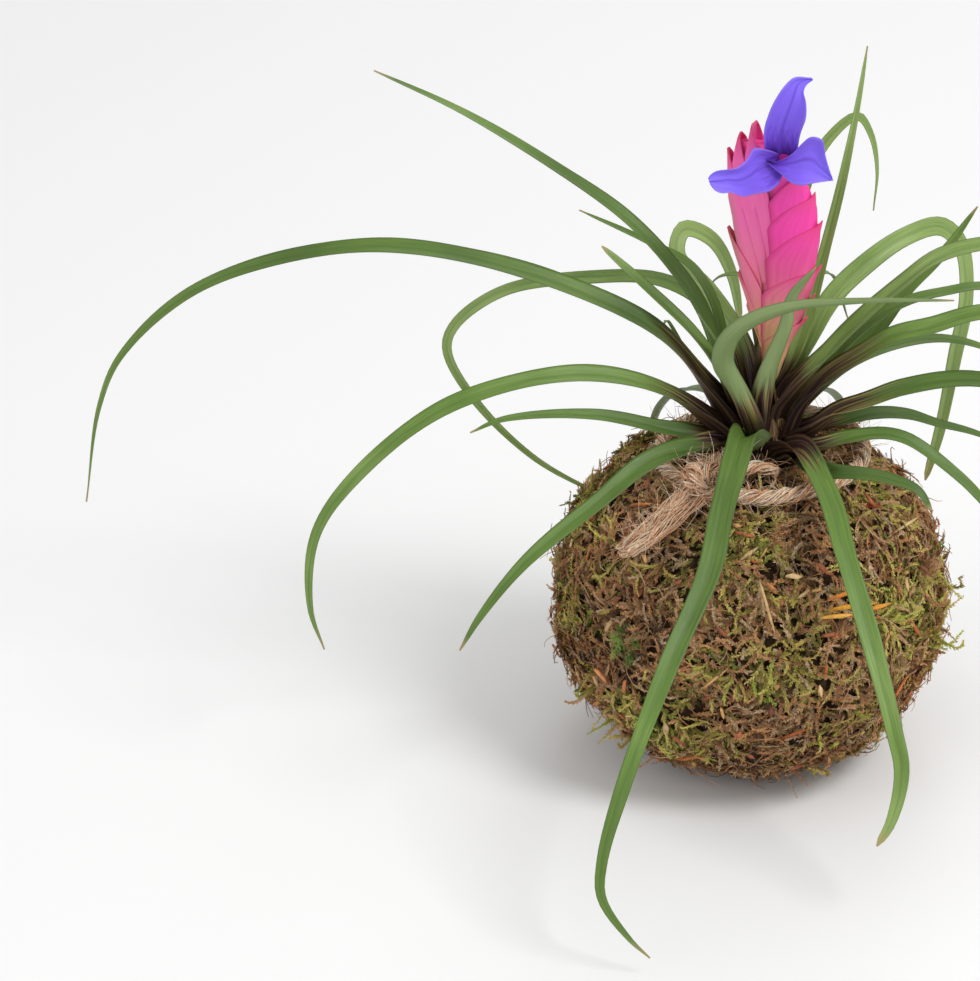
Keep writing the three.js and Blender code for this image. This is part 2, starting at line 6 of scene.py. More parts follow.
import bpy
import numpy as np
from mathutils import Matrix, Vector

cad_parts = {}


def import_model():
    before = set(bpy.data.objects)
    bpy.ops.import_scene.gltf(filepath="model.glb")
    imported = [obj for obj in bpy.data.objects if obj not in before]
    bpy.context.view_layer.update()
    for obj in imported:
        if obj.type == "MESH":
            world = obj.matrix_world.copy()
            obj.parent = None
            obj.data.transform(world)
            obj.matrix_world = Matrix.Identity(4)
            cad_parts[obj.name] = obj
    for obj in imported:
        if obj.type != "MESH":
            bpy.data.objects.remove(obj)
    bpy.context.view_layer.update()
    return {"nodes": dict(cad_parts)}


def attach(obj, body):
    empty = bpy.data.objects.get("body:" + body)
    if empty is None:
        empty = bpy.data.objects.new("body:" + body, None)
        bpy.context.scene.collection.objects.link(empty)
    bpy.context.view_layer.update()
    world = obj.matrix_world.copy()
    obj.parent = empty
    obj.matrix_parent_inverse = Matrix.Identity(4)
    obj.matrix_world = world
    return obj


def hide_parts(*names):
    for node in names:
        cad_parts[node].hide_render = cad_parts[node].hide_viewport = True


MM = 0.001
TAU = 2 * math.pi
GOLDEN_ANGLE = 2.39996
UP = np.array([0.0, 0.0, 1.0])

# Camera, from the photograph: a long lens looking down at the ball
PHOTO_HEIGHT_PX = 981
CAMERA_FOCAL_PX = 3500
CAMERA_ELEVATION_DEG = 27
CAMERA_PLACE = (-0.0840, -0.9721, 0.5830)
SENSOR_WIDTH = 36.0

# Studio: lights as name, place, aim, size in metres and watts
WORLD_STRENGTH = 0.62
FLOOR_TONE = (243, 243, 243)
FLOOR_REACH = 6.0
LIGHTS = [
    ("key_light", (0.9, -0.7, 1.5), (0, 0, 0.08), 0.7, 17.0),
    ("fill_light", (-1.3, -0.9, 0.9), (0, 0, 0.08), 1.2, 4.0),
    ("back_light", (0.3, 1.4, 1.3), (0, 0, 0.1), 0.9, 5.0),
]

# Smooth noise. Each field is a span in millimetres and a seed, in the lists with a strength first.
NOISE_WAVES = 14
NOISE_MIDDLE = (0.3, 0.7)
GRAIN_TONES = [(0.3, (205, 205, 205)), (0.7, (255, 255, 255))]
RELIEF_FIELD = (26.0, 5)
HEADING_FIELD = (34.0, 11)
CLUMP_FIELD = (7.0, 41)
PATCH_FIELDS = [(0.3, 30.0, 21), (0.25, 11.0, 22)]
MATTING_FIELDS = [(1.3, 26.0, 5), (0.8, 7.0, 31), (0.5, 3.2, 32)]
MATTING_SHADE_FIELD = (5.0, 33)

# Tinted surfaces: roughness, scale of the grain, strength and depth in metres of the bumps
MATTING_FINISH = (0.95, 900.0, 0.9, 0.002)
SPRIG_FINISH = (0.8, 1500.0, 0.3, 0.0004)
BARK_FINISH = (0.7, 700.0, 0.5, 0.0005)
STAR_FINISH = (0.7, 900.0, 0.2, 0.0003)
JUTE_FINISH = (0.85, 1200.0, 0.3, 0.0003)

# Root ball
BALL_RADIUS = 61.5
BALL_SHIFT_X = -2
SHIFT_FADE_FOOT = 0.12
SHIFT_FADE_NECK = 0.2
BALL_WAIST_Z = 46
BALL_UPPER_RISE = 58
BALL_LOWER_DROP = 49
UPPER_FULLNESS = 2.5
LOWER_FULLNESS = 2.0
NECK_RADIUS = 13.6
PROFILE_STEPS = 900
MOSS_RELIEF = 1.6
RELIEF_TOP_Z = 104
MATTING_INSET = 3.2
MATTING_TOP_Z = 103
MATTING_SINK_Z = 80
MATTING_GRID = (84, 156)
FLOOR_RINGS = 7
NECK_RINGS = 5

# Moss: how many sprigs of each kind, and how each kind grows
MOSS_PIECES = 5
MOSS_SPRIGS = 8300
MOSS_TUFTS = 2200
DEAD_STEM_COUNT = 1300
SPRIG_SEED = 100
DEAD_STEM_SEED = 140
SPRIG_STEPS = 5
LOWEST_SPRIG = 0.25
HEADING_SWING = 3.4
STEM_TAPER = 0.6
LEAFLET_WIDTH = 0.3

# Kinds of sprig: lengths in millimetres, lift and droop in degrees, scatter and bend in radians
Sprig = namedtuple("Sprig", "length scatter lift bend droop depth radius rows leaflet")
CREEPING = Sprig((5.0, 11.0), 1.0, (6, 28), 1.3, (14, 55), 2.4, 0.32, 11, 1.28)
LIFTED = Sprig((3.5, 8.5), 1.4, (25, 65), 1.2, (30, 95), 2.4, 0.3, 9, 1.2)
WIRY = Sprig((5.0, 15.0), 1.6, (8, 42), 1.6, (20, 85), 1.2, 0.22, 0, 0.0)
LOOSE = CREEPING._replace(radius=0.34, rows=18, leaflet=1.4)

# How far a leaflet points to the side of its stem and away from the ball
SIDE_LEAFLET = (0.6, 0.15)
UPPER_LEAFLET = (0.2, 0.6)

# Moss colours, and how they vary
BRIGHTEST = 0.7
# Painted light: how much lighter the moss is painted towards the +X side, where the key light falls
RIGHT_SIDE_PAINTED_LIGHT = 0.3
CLUMP_CONTRAST = 0.45
PATCH_STRENGTH = 0.62
PATCH_MIXING = 0.24
OLIVE_FROM = 0.3
GREEN_FROM = 0.7
# Painted shade: stems and leaflets darker towards the root, and leaflets darker where they meet the stem,
# for the shade among the sprigs
STEM_ROOT_PAINTED_SHADE = 0.6
STEM_PAINTED_SHADE_RISE = 0.8
LEAFLET_ROOT_PAINTED_SHADE = 0.7
LEAFLET_CORNER_PAINTED_SHADES = (0.75, 0.75, 1.3)
SPRIG_SHADES = (0.3, 1.35)
# Matting colour: the moss's own dark brown, darkened further as painted shade for the gaps between sprigs
MATTING_BROWN_AND_SHADE = (72, 52, 36)
MOSS_BROWNS = [(210, 158, 112), (228, 184, 136), (186, 134, 94), (244, 208, 164), (200, 150, 100)]
MOSS_OLIVES = [(206, 188, 104), (218, 200, 116), (180, 164, 84), (200, 174, 100)]
MOSS_GREENS = [(212, 204, 108), (180, 182, 88), (150, 158, 72), (206, 200, 100)]
LOOSE_TINTS = MOSS_BROWNS[:2] + MOSS_OLIVES + MOSS_GREENS
DEAD_STEMS = [(176, 124, 84), (206, 150, 104), (140, 96, 68), (226, 186, 142), (110, 74, 54)]
CHIP_COLOURS = [
    (224, 150, 96), (204, 120, 78), (236, 182, 116), (180, 108, 76), (244, 206, 150), (150, 92, 66),
]
STAR_GREEN = (140, 170, 84)
SOIL_BROWNS = [(0.3, (34, 24, 17)), (0.7, (74, 54, 38))]

# Patches of yellow-green moss: centre and reach
GREEN_PATCHES = [
    (-50, 5, 89, 13), (-38, 28, 92, 15), (-57, -1, 79, 12), (-58, -26, 58, 14), (-40, -47, 36, 12),
    (-26, -55, 33, 13), (-7, -41, 94, 9), (0, -61, 60, 13), (4, -51, 84, 10), (47, -30, 74, 12),
    (42, -40, 64, 11), (55, -22, 49, 13), (33, -19, 95, 9), (3, -53, 21, 9), (30, 55, 60, 22),
    (-30, 52, 40, 20),
]

# Long loose sprigs that stand out of the ball, a few for each row of root, direction and length
LOOSE_EACH = 4
LOOSE_STEPS = 7
LOOSE_SPREAD = (0.3, 0.8, 1.0)
LOOSE_SCATTER = 3.5
LOOSE_LEAN = 0.4
LOOSE_LENGTHS = (0.4, 1.0)
LOOSE_SWAY = 0.3
LOOSE_BENDS = (2.0, 5.0)
LOOSE_INSET = 2.5
LOOSE_FACING = (0.3, 0.2, 0.9)
LOOSE_SPRIGS = [
    ((51, -23, 74), (0.9, 0.1, 0.6), 13), ((54, -23, 64), (1.0, 0.0, 0.2), 15),
    ((54, -25, 50), (1.0, -0.2, -0.4), 13), ((54, -14, 56), (1.0, 0.2, -0.1), 11),
    ((-52, -30, 34), (-0.9, -0.3, 0.1), 11), ((-44, -33, 24), (-0.8, -0.4, -0.3), 12),
    ((-38, -33, 15), (-0.7, -0.5, -0.2), 11), ((12, -40, 11), (0.3, -0.8, -0.3), 11),
    ((-51, -6, 78), (-0.9, -0.1, 0.4), 9), ((-20, -22, 97), (-0.4, -0.4, 0.8), 7),
    ((30, 20, 94), (0.4, 0.3, 0.8), 8), ((8, 54, 50), (0.1, 1.0, 0.2), 11),
]

# Tufts of star moss, and the foot of each
STAR_SEED = 160
STAR_STEMS = 4
STAR_STEM_LENGTH = 3.6
STAR_LEAN = 0.35
STAR_SCATTER = 1.3
STAR_NEEDLES = 24
NEEDLE_LENGTH = 4.0
NEEDLE_SHORTENING = 1.6
NEEDLE_RADII = (0.15, 0.12, 0.04)
STAR_TUFTS = [(-43.2, -43.7, 59), (-41.2, -45.7, 56.5)]

# Small splinters of bark: an outline in shares of length, width and lift, and its upper faces
CHIP_COUNT = 190
CHIP_SEED = 150
CHIP_CLEARANCE = 24
CHIP_THICKNESS = 0.3
CHIP_LENGTHS = (1.2, 3.6)
CHIP_WIDTHS = (0.3, 0.85)
CHIP_TILTS = (-0.25, 0.35)
CHIP_RISES = (-0.8, 1.2)
CHIP_SHADES = (0.75, 1.2)
CHIP_JITTER = (0.75, 1.25)
CHIP_WARP = 0.4
CHIP_OUTLINE = [
    (-1.0, -0.5, 0.2), (-0.9, 0.6, -0.2), (-0.2, 1.0, 0.4), (0.6, 0.8, 0.1), (1.0, 0.1, 0.3),
    (0.3, -1.0, -0.3),
]
CHIP_FACES = [(0, 2, 1), (0, 5, 2), (5, 3, 2), (5, 4, 3)]

# Single splinters of bark and stem: place, direction, length, width and colour
SPLINTERS = [
    ((24, -55.5, 77), (1.0, 0.1, 0.1), 13, 1.4, (248, 178, 62)),
    ((31, -53, 75), (1.0, 0.3, 0.15), 11, 1.3, (236, 160, 60)),
    ((21, -54, 80), (1.0, 0.1, 0.35), 8, 1.2, (226, 140, 56)),
    ((20, -56, 74), (1.0, 0.0, 0.1), 9, 1.3, (250, 190, 90)),
    ((28, -54.5, 73), (1.0, 0.0, -0.1), 10, 1.2, (222, 128, 48)),
    ((43, -24, 88), (0.9, 0.3, 0.5), 9, 0.9, (238, 206, 150)),
    ((31, -24, 95), (0.9, -0.5, 0.1), 7, 1.3, (186, 84, 42)),
    ((-1, -58, 77), (0.3, -0.3, -1.0), 17, 0.9, (226, 186, 130)),
    ((-22, -50, 21), (0.8, -0.2, 0.3), 9, 1.4, (206, 118, 62)),
    ((42, -44, 43), (0.5, 0.4, 0.7), 8, 1.1, (210, 124, 66)),
    ((-38, -22, 94), (0.8, -0.3, 0.2), 8, 1.0, (206, 130, 70)),
    ((-16, -60, 55), (0.7, 0.1, 0.6), 10, 0.8, (222, 176, 116)),
    ((46, -39, 60), (0.4, 0.4, -0.8), 9, 0.9, (196, 108, 58)),
    ((8, -61, 36), (0.9, 0.0, 0.4), 8, 1.2, (184, 100, 56)),
]

# Leaf blades
BLADE_THICKNESS = 0.75
BLADE_CUP = 0.42
BLADE_COLUMNS = 9
FEWEST_RINGS = 26
RING_SPACING = 4
TIP_WIDTH = 0.5
EDGE_THINNING = 0.55
CUP_ROUNDNESS = 0.6
WOBBLE_SHARE = 0.03
WOBBLE_RATE = 0.16
FOOT_WIDTH_SHARE = 0.8
FOOT_SPREAD = 1.4
CLASP_LENGTH = 26.0
CLASP_WIDENING = 0.3
CLASP_CUP = 0.75
ROLL_RAMP = 0.25
TWIST_START = 0.3
TWIST_LENGTH = 0.6
ROOT_Z = 97.0
ROOT_INSET = 0.35
ROOT_RINGS = 6
LEAF_GREENS = [
    (0.0, (44, 66, 26)), (0.35, (74, 102, 38)), (0.7, (108, 140, 58)), (1.0, (154, 180, 104)),
]
LEAF_VEIN = (62, 86, 36)
# Painted shade darkening the middle groove of each blade
LEAF_GROOVE_PAINTED_SHADE = (66, 92, 40)
LEAF_RIM = (70, 84, 48)
LEAF_UNDERSIDE = (134, 152, 104)
LEAF_FOOT = (38, 20, 22)
LEAF_DRY_TIP = (176, 150, 104)
LEAF_BASE_STRIPES = [
    (0.38, (40, 20, 24)), (0.47, (80, 44, 44)), (0.54, (118, 92, 56)), (0.66, (168, 156, 90)),
]

# Noise along a blade for its streaks, veins and brown lines: scales, then scale, detail, roughness
LEAF_GRAINS = [
    ((5.0, 0.4, 0.0), 1.0, 3.0, 0.6), ((20.0, 1.0, 0.0), 1.0, 1.0, 0.5),
    ((9.0, 0.25, 0.0), 1.0, 1.0, 0.5),
]

# Crown of sheaths
CROWN_SCALES = 16
CROWN_GRID = (22, 9)
CROWN_FLOOR_Z = 95.5
CROWN_TOP_Z = 126.0
CROWN_STEP_DOWN = 15.0
CROWN_CORE = 3.0
CROWN_SPREAD = 8.6
CROWN_CLOSING = 0.42
CROWN_BELLY = 1.2
SHEATH_THICKNESS = 0.5
SHEATH_HALF_TURN = 0.62
SHEATH_NARROWING = 0.3
SHEATH_BULGE = 0.5

# Each leaf: width, roll in degrees that shows its upper face, further twist, taper,
# brown reach in mm, tint from dark to light green set partly to how lit the leaf looks, and the points its
# midrib follows
LEAVES = [
    ("leaf_left_long", 9.5, -20, -30, 0.8, 52, 0.5, [
     (-12, 1, 111), (-26, 2, 134), (-43, 3, 147), (-87, 6, 163), (-126, 9, 166), (-172, 12, 152),
     (-198, 14, 128), (-206, 14, 110), (-212, 15, 76)]),
    ("leaf_left_high", 7.5, -12, 0, 0.55, 28, 0.52, [
     (-9, 5, 114), (-14, 7, 129), (-20, 9, 146), (-30, 13, 160), (-43, 19, 172), (-64, 29, 184),
     (-92, 42, 197), (-120, 55, 206)]),
    ("leaf_left_curl", 5.5, -60, -30, 0.55, 28, 0.8, [
     (-3, 12.6, 109), (-8, 24, 126), (-17, 32, 138), (-30, 38, 143), (-51, 47, 140), (-79, 57, 131),
     (-95, 62, 117), (-98, 64, 107), (-90, 66, 89), (-69, 68, 65), (-38, 71, 45)]),
    ("leaf_left_arch", 8, -20, -30, 0.55, 38, 0.62, [
     (-13, -4, 108), (-30, -6, 124), (-58, -12, 133), (-97, -22, 127), (-125, -28, 106), (-137, -31, 88),
     (-139, -33, 64), (-135, -34, 50)]),
    ("leaf_left_short", 6, -30, 0, 0.55, 14, 0.38, [
     (-14, -5, 107), (-28, -8, 112), (-52, -13, 120), (-80, -20, 122), (-90, -23, 119)]),
    ("leaf_front_left", 8, -20, 0, 0.55, 12, 0.4, [
     (-13, -10, 107), (-34, -23, 110), (-52, -37, 102), (-74, -53, 90), (-87, -64, 78), (-93, -68, 69)]),
    ("leaf_front_long", 8.8, -10, 0, 0.55, 3, 0.56, [
     (-3, -11, 107), (-7, -20, 116), (-10, -32, 115), (-16, -55, 107), (-20, -72, 98), (-33, -98, 80),
     (-46, -119, 53), (-52, -129, 34), (-52, -132, 24), (-44, -135, 12), (-38, -136, 6)]),
    ("leaf_front_right", 7.6, 0, 30, 0.3, 28, 0.66, [
     (5, -13, 107), (10, -20, 111), (17, -40, 106), (21, -59, 96), (28, -80, 77), (34, -95, 57),
     (36, -101, 47), (33, -106, 33), (29, -108, 26)]),
    ("leaf_back_left_thin", 4.5, -8, 0, 0.55, 26, 0.5, [
     (-6, 8, 111), (-11, 14, 129), (-15, 18, 144), (-22, 23, 154), (-35, 30, 159), (-56, 46, 163)]),
    ("leaf_left_spear", 6, -30, -30, 0.4, 24, 0.55, [
     (-9, 0, 115), (-15, -1, 131), (-22, 1, 141), (-36, 6, 154), (-50, 10, 166)]),
    ("leaf_loop", 7, -10, 60, 0.3, 26, 0.85, [
     (-3, 6, 118), (-7, 19, 131), (-16, 27, 143), (-26, 31, 154), (-24, 37, 160), (-15, 42, 155),
     (-8, 46, 142), (-4, 49, 124)]),
    ("leaf_back_hook", 4.5, 0, 0, 0.55, 26, 0.6, [
     (2, 7, 116), (8, 21, 136), (15, 31, 145), (23, 40, 144), (30, 46, 126)]),
    ("leaf_back_short", 4, 0, 0, 0.55, 26, 0.55, [
     (1, 8, 121), (-2, 18, 138), (-5, 25, 149), (-12, 31, 147), (-17, 37, 139)]),
    ("leaf_left_stub", 5, 0, 0, 0.55, 34, 0.5, [
     (-8, -2, 118), (-14, -3, 138), (-21, -4, 150)]),
    ("leaf_left_small", 4.5, 0, 0, 0.55, 20, 0.6, [
     (-9, 6, 109), (-22, 13, 126), (-29, 17, 138), (-30, 21, 135)]),
    ("leaf_upright", 4.8, 75, 0, 0.55, 20, 0.86, [
     (5, 3, 120), (8, 4, 127), (13, 6, 145), (17, 8, 163), (22, 10, 187), (26, 12, 212), (28, 13, 229)]),
    ("leaf_back_tall", 6.5, 20, 30, 0.7, 20, 0.74, [
     (1, 5, 124), (5, 14, 149), (10, 21, 174), (17, 29, 190), (28, 34, 199), (33, 37, 192),
     (36, 40, 179), (36, 43, 164)]),
    ("leaf_right_arch", 7, 70, 60, 0.3, 22, 0.95, [
     (8, 7, 115), (13, 9, 132), (21, 13, 148), (31, 19, 156), (44, 27, 162), (56, 35, 162),
     (63, 38, 154), (66, 40, 136), (64, 41, 115), (61, 41, 90), (57, 40, 71)]),
    ("leaf_right_long", 9, 10, 0, 0.55, 24, 0.86, [
     (7, -2, 117), (16, -2, 131), (28, -4, 147), (41, -6, 161), (50, -7, 169), (62, -9, 174),
     (91, -12, 177), (122, -16, 165), (142, -18, 140)]),
    ("leaf_right_spear", 8, 30, 0, 0.55, 24, 0.6, [
     (9, 6, 113), (20, 10, 122), (35, 15, 135), (45, 19, 148), (55, 23, 157), (66, 27, 172)]),
    ("leaf_right_fine", 5.5, 10, 0, 0.55, 24, 0.65, [
     (10, 1, 113), (29, 6, 139), (43, 8, 148), (57, 10, 151), (65, 11, 152), (92, 15, 147),
     (118, 19, 129), (130, 21, 108)]),
    ("leaf_cross", 8, 60, 30, 0.55, 20, 0.75, [
     (-5, -10, 113), (-11, -12, 129), (-14, -15, 140), (-10, -21, 152), (3, -24, 160), (25, -25, 163),
     (53, -26, 164)]),
    ("leaf_front_short", 7.5, 0, -30, 0.55, 22, 0.75, [
     (0, -9, 115), (1, -11, 134), (5, -13, 150), (6, -14, 159), (13, -15, 170)]),
    ("leaf_right_broad", 8, 20, 0, 0.55, 62, 0.74, [
     (10, -4, 111), (13, -4, 120), (19, -5, 129), (29, -6, 137), (38, -8, 144), (49, -10, 148),
     (64, -13, 154), (92, -17, 154), (116, -22, 140), (132, -25, 115)]),
    ("leaf_right_back", 5.5, 20, 0, 0.55, 26, 0.6, [
     (9, 7, 107), (26, 17, 122), (52, 27, 127), (70, 31, 123), (93, 40, 105)]),
    ("leaf_right_low", 8, 40, 0, 0.55, 50, 0.46, [
     (10, -5, 107), (16, -8, 112), (22, -8, 118), (32, -11, 124), (42, -13, 129), (63, -18, 134),
     (91, -26, 128), (114, -32, 110), (125, -35, 88)]),
    ("leaf_right_thin", 5.5, 30, -30, 0.55, 20, 0.4, [
     (13, 2, 107), (19, 2, 108), (34, 4, 112), (45, 6, 111), (55, 8, 107), (69, 10, 102), (84, 12, 93),
     (97, 14, 82)]),
    ("leaf_right_bow", 6, 30, 30, 0.55, 22, 0.52, [
     (10, -11, 106), (17, -14, 109), (26, -15, 113), (35, -16, 115), (43, -18, 114), (57, -22, 105),
     (65, -25, 98), (81, -30, 79)]),
    ("leaf_right_stub", 6, 40, 0, 0.4, 8, 0.35, [
     (9, -15, 105), (18, -26, 107), (28, -33, 110), (37, -37, 110), (44, -40, 108), (48, -43, 103)]),
    ("leaf_back_right", 7, 0, 0, 0.55, 22, 0.5, [
     (5, 10, 107), (15, 28, 108), (24, 45, 101), (32, 61, 86), (36, 70, 66)]),
    ("leaf_back_middle", 7, 0, 0, 0.55, 22, 0.54, [
     (0.5, 14, 108), (1, 31, 108), (2, 48, 102), (3, 66, 87), (3, 76, 64), (2, 79, 44)]),
    ("leaf_back_left", 7, 0, 0, 0.55, 22, 0.46, [
     (-7, 13, 108), (-14, 28, 108), (-22, 45, 101), (-29, 61, 86), (-32, 70, 66)]),
]

# Flower spike: a flat paddle of two ranks of overlapping bracts
SPIKE_BASE = (3, 0, 128)
SPIKE_HALF_THICKNESS = 4.0
SPIKE_TURN_DEG = -24
SPIKE_LEAN_DEG = -6
SPIKE_BOW = 3.5
SPIKE_BOW_LENGTH = 90
SPIKE_WIDEST = 15
SPIKE_TOP = 82.5

# Half width of the spike at each height above its base
SPIKE_OUTLINE = [
    (0, 1.5), (6, 4.2), (12, 6), (18, 8.6), (26, 10.8), (31, 12.3), (39, 13.9), (47, 15), (57, 15),
    (65, 13.2), (73, 11), (78, 6.4), (82.5, 1),
]

# Each bract: its tip, and the place on the middle of the spike where its free margin
# comes out from under its neighbour, both across and up, and how far the margin bows
BRACTS = [
    ((8.8, 21), (-3.5, 11), 1.5), ((11.7, 28.8), (-4.0, 18), 1.5),
    ((13.8, 38.7), (-4.1, 27.1), 1.6), ((15.3, 53.3), (-2.3, 39), 1.6),
    ((14.6, 62.3), (-0.9, 49.7), 1.6), ((10.5, 69), (0.4, 58), 1.4), ((-8.4, 24), (-3.5, 8), 1.1),
    ((-11.4, 33), (-4.0, 16), 1.1), ((-14.8, 46.5), (-4.0, 28.5), 1.2),
    ((-11.2, 72.6), (-4.0, 30), 0.9), ((-6.3, 78.3), (-2.3, 41), 1.0),
    ((-1.0, 82.2), (1.4, 50), 1.0),
]
BRACT_GRID = (30, 19)
BRACT_THICKNESS = 0.35
BRACT_LENGTH = 48.0
BRACT_FOOT = 0.6
BRACT_INSET = 2.0
INSET_SLOPE = 0.09
BRACT_BELLY = 0.4
BRACT_CURL = 0.2
BRACT_LIP = 0.2
STACK_AT_TIP = 1.02
STACK_SLOPE = 0.0105
TIP_SPREAD = 0.42
RIGHT_TIP_FLARE = 0.8
LEFT_TIP_FLARE = 0.1
FLARE_REACH = 2.5
TIP_HEIGHT = 2.6
CORE_GRID = (40, 24)
CORE_HEIGHT = 0.92
CORE_WIDTH = 0.8
CORE_DEPTH = 0.5
BRACT_RIGHT_RANK = [
    (0.0, (226, 128, 146)), (0.16, (238, 146, 146)), (0.3, (246, 130, 156)), (0.42, (248, 98, 162)),
    (0.6, (252, 70, 174)), (1.0, (250, 68, 178)),
]
# Left rank: its pinks are partly painted light, made lighter to make up for facing away from the key light
BRACT_LEFT_RANK_WITH_PAINTED_LIGHT = [
    (0.0, (222, 124, 134)), (0.16, (232, 150, 136)), (0.34, (244, 138, 156)),
    (0.55, (248, 112, 178)), (1.0, (250, 96, 176)),
]
BRACT_MIDDLE = (204, 184, 96)
BRACT_RUSSET = (146, 62, 50)
BRACT_LEFT_EDGE = (158, 146, 92)
BRACT_TIP = (222, 70, 96)
BRACT_MARGIN = (206, 46, 118)
BRACT_STREAK = (226, 58, 142)

# Stalk of the spike and tube of the flower: round rods along a line
ROD_STEPS = 14
ROD_SIDES = 20
STALK_LINE = [(0.5, 0, 126.5), (1.5, 0, 128), (3, 0, 133)]
STALK_RADII = (2.9, 2.9)
STALK_COLOURS = [(0.3, (176, 142, 96)), (0.7, (206, 176, 120))]
FLOWER_TUBE_LINE = [(0, -1, 195), (2, -5, 199), (3.5, -8, 202.6)]
TUBE_RADII = (1.7, 3.6)
TUBE_VIOLETS = [(0.3, (92, 40, 150)), (0.7, (120, 70, 200))]

# Petals: how far each ruffles, and its two edges from the throat out
PETAL_THICKNESS = 0.3
PETAL_CUP = 0.22
PETAL_GROOVE = 0.6
GROOVE_WIDTH = 0.16
PETAL_CREASE = 0.25
PETAL_GRID = (40, 21)
# Petal violets from the throat out, the dark start being painted shade in the throat
PETAL_VIOLETS_AND_THROAT_SHADE = [
    (0.0, (74, 24, 122)), (0.14, (96, 54, 184)), (0.35, (122, 90, 226)), (0.7, (131, 103, 238)),
    (1.0, (140, 118, 244)),
]
PETAL_LINE = (84, 48, 176)
PETAL_RIM = (158, 142, 246)
PETALS = [
    ("petal_upper", 0.5, [
        [(-2.0, -8.6, 203), (-3.5, -9.6, 207), (-3.8, -10.6, 212), (-2.9, -12, 217),
         (-1.3, -12.5, 221.7), (1.4, -12.5, 226.3), (4.3, -12, 228.6), (9.6, -11.4, 228)],
        [(6.4, -8.6, 203), (6.7, -10, 208.6), (7.2, -11, 212.2), (8.2, -12.5, 217.4),
         (8, -12.8, 221), (7.2, -12.4, 224.2), (8, -12, 226), (10, -11.4, 227.4)],
    ]),
    ("petal_left", 0.8, [
        [(2.4, -10, 199.6), (1, -11, 196.6), (-2, -12.4, 193.8), (-5.6, -13.6, 193),
         (-9.8, -14, 192.2), (-13.4, -15, 194), (-16.4, -15.8, 194.2), (-18.4, -16, 195.2),
         (-19.5, -16, 196.8)],
        [(0.6, -9.4, 203.8), (-3.3, -11.4, 206), (-6.9, -12.2, 206.6), (-8.6, -13, 203.9),
         (-12.2, -14, 201.6), (-15, -14.6, 201.2), (-17.6, -15.2, 200.8), (-19.2, -15.6, 199.6),
         (-19.8, -16, 198.4)],
    ]),
    ("petal_right", 0.6, [
        [(-2.6, -12, 202.6), (0.6, -11.4, 202), (3.4, -11.4, 203.2), (6.1, -12, 205.9),
         (8, -13, 208.8), (10.4, -14, 211.3), (13, -14, 210.4), (13.8, -14, 206.6),
         (16.4, -15, 198.4)],
        [(-2.7, -12.2, 202.3), (-0.5, -12.6, 200.3), (1.8, -13.2, 198.5), (4.4, -14, 197),
         (7, -14.6, 196.6), (10, -15, 197), (12.6, -15, 197.1), (14.6, -15, 197.2),
         (16.8, -15, 197.4)],
    ]),
]

# Twine: its ring, knot, ends and hanging loop
TWINE_SEED = 200
COLLAR_RADIUS = 31.5
COLLAR_Z = 101.6
COLLAR_TILT_DEG = -3
COLLAR_STEPS = 241
UPPER_END = [(-18.5, -24, 106.5), (-16.5, -20.5, 108), (-14.8, -17.5, 107.6)]
SHORT_END = [(-16, -25, 104.5), (-9.7, -21.5, 105.2), (-2.7, -20.5, 106), (3.3, -23, 105.4)]
TAIL_LINE = [
    (-21.1, -30, 101.8), (-28, -33.5, 98.2), (-33.6, -36, 93.7), (-38.5, -36.8, 90),
    (-42.3, -36.6, 87),
]
TAIL_STEPS = 60
TAIL_LANE = 2.2
TAIL_CLOSING = 0.55
BEND_STEPS = 9
BEND_REACH = 2.0
JUTE_COLOURS = [(255, 210, 172), (255, 228, 196), (244, 190, 150), (255, 238, 214), (252, 200, 160)]

# Turns of the knot: axis, radius and shift from its centre
KNOT_CENTRE = (-19, -27, 104.5)
KNOT_TURNS = [
    ((0.9, 0.3, 0.2), 4.4, (-2.6, 0, 0)), ((0.7, -0.6, 0.3), 4.6, (1.8, -0.6, 0.4)),
    ((0.2, -0.5, 0.9), 5.2, (0, 0.4, 0.6)), ((0.9, 0.2, -0.4), 4.0, (3.8, 0.6, -0.4)),
]
KNOT_STEPS = 61
KNOT_FLATNESS = 0.8

# Each rope: fibres, points along it, pitch, reach and radius of a ply, and how flat it lies
PLIES = 3
COLLAR_ROPE = (62, 108, 14.0, 1.2, 1.4)
KNOT_ROPE = (50, 30, 16.0, 1.1, 1.35)
END_ROPE = (50, 20, 14.0, 1.0, 1.2)
TAIL_ROPE = (60, 40, 40.0, 1.15, 1.45, 0.85)
BEND_ROPE = (50, 20, 30.0, 0.9, 1.4)
FIBRE_RADII = (0.18, 0.32)

# Loose fibres of the twine: how many stand off each part, and how they leave it
COLLAR_FUZZ = 460
KNOT_FUZZ = 60
END_FUZZ = 50
TAIL_FUZZ = (190, 3.4)
FUZZ_REACH = 2.0
FUZZ_RADII = (0.1, 0.04)
FUZZ_LENGTH = (5.0, 13.0)
FUZZ_STEPS = 6
FUZZ_PLACES = 240


def smooth(x):
    t = np.clip(x, 0.0, 1.0)
    return t * t * (3.0 - 2.0 * t)


def unit(vectors):
    return vectors / np.maximum(np.linalg.norm(vectors, axis=-1, keepdims=True), 1e-9)


def linear(colour):
    """sRGB colours in 0 to 255, as the linear values that shaders use."""
    share = np.asarray(colour, float) / 255.0
    return np.where(share <= 0.04045, share / 12.92, ((share + 0.055) / 1.055) ** 2.4)


def rgba(colour):
    return (*linear(colour), 1.0)


def triples(*parts):
    """Rows of three values, from three parts that broadcast together."""
    return np.stack(np.broadcast_arrays(*parts), -1).reshape(-1, 3)


def turns(count):
    """Angles all round, evenly spaced."""
    return np.arange(count) * TAU / count


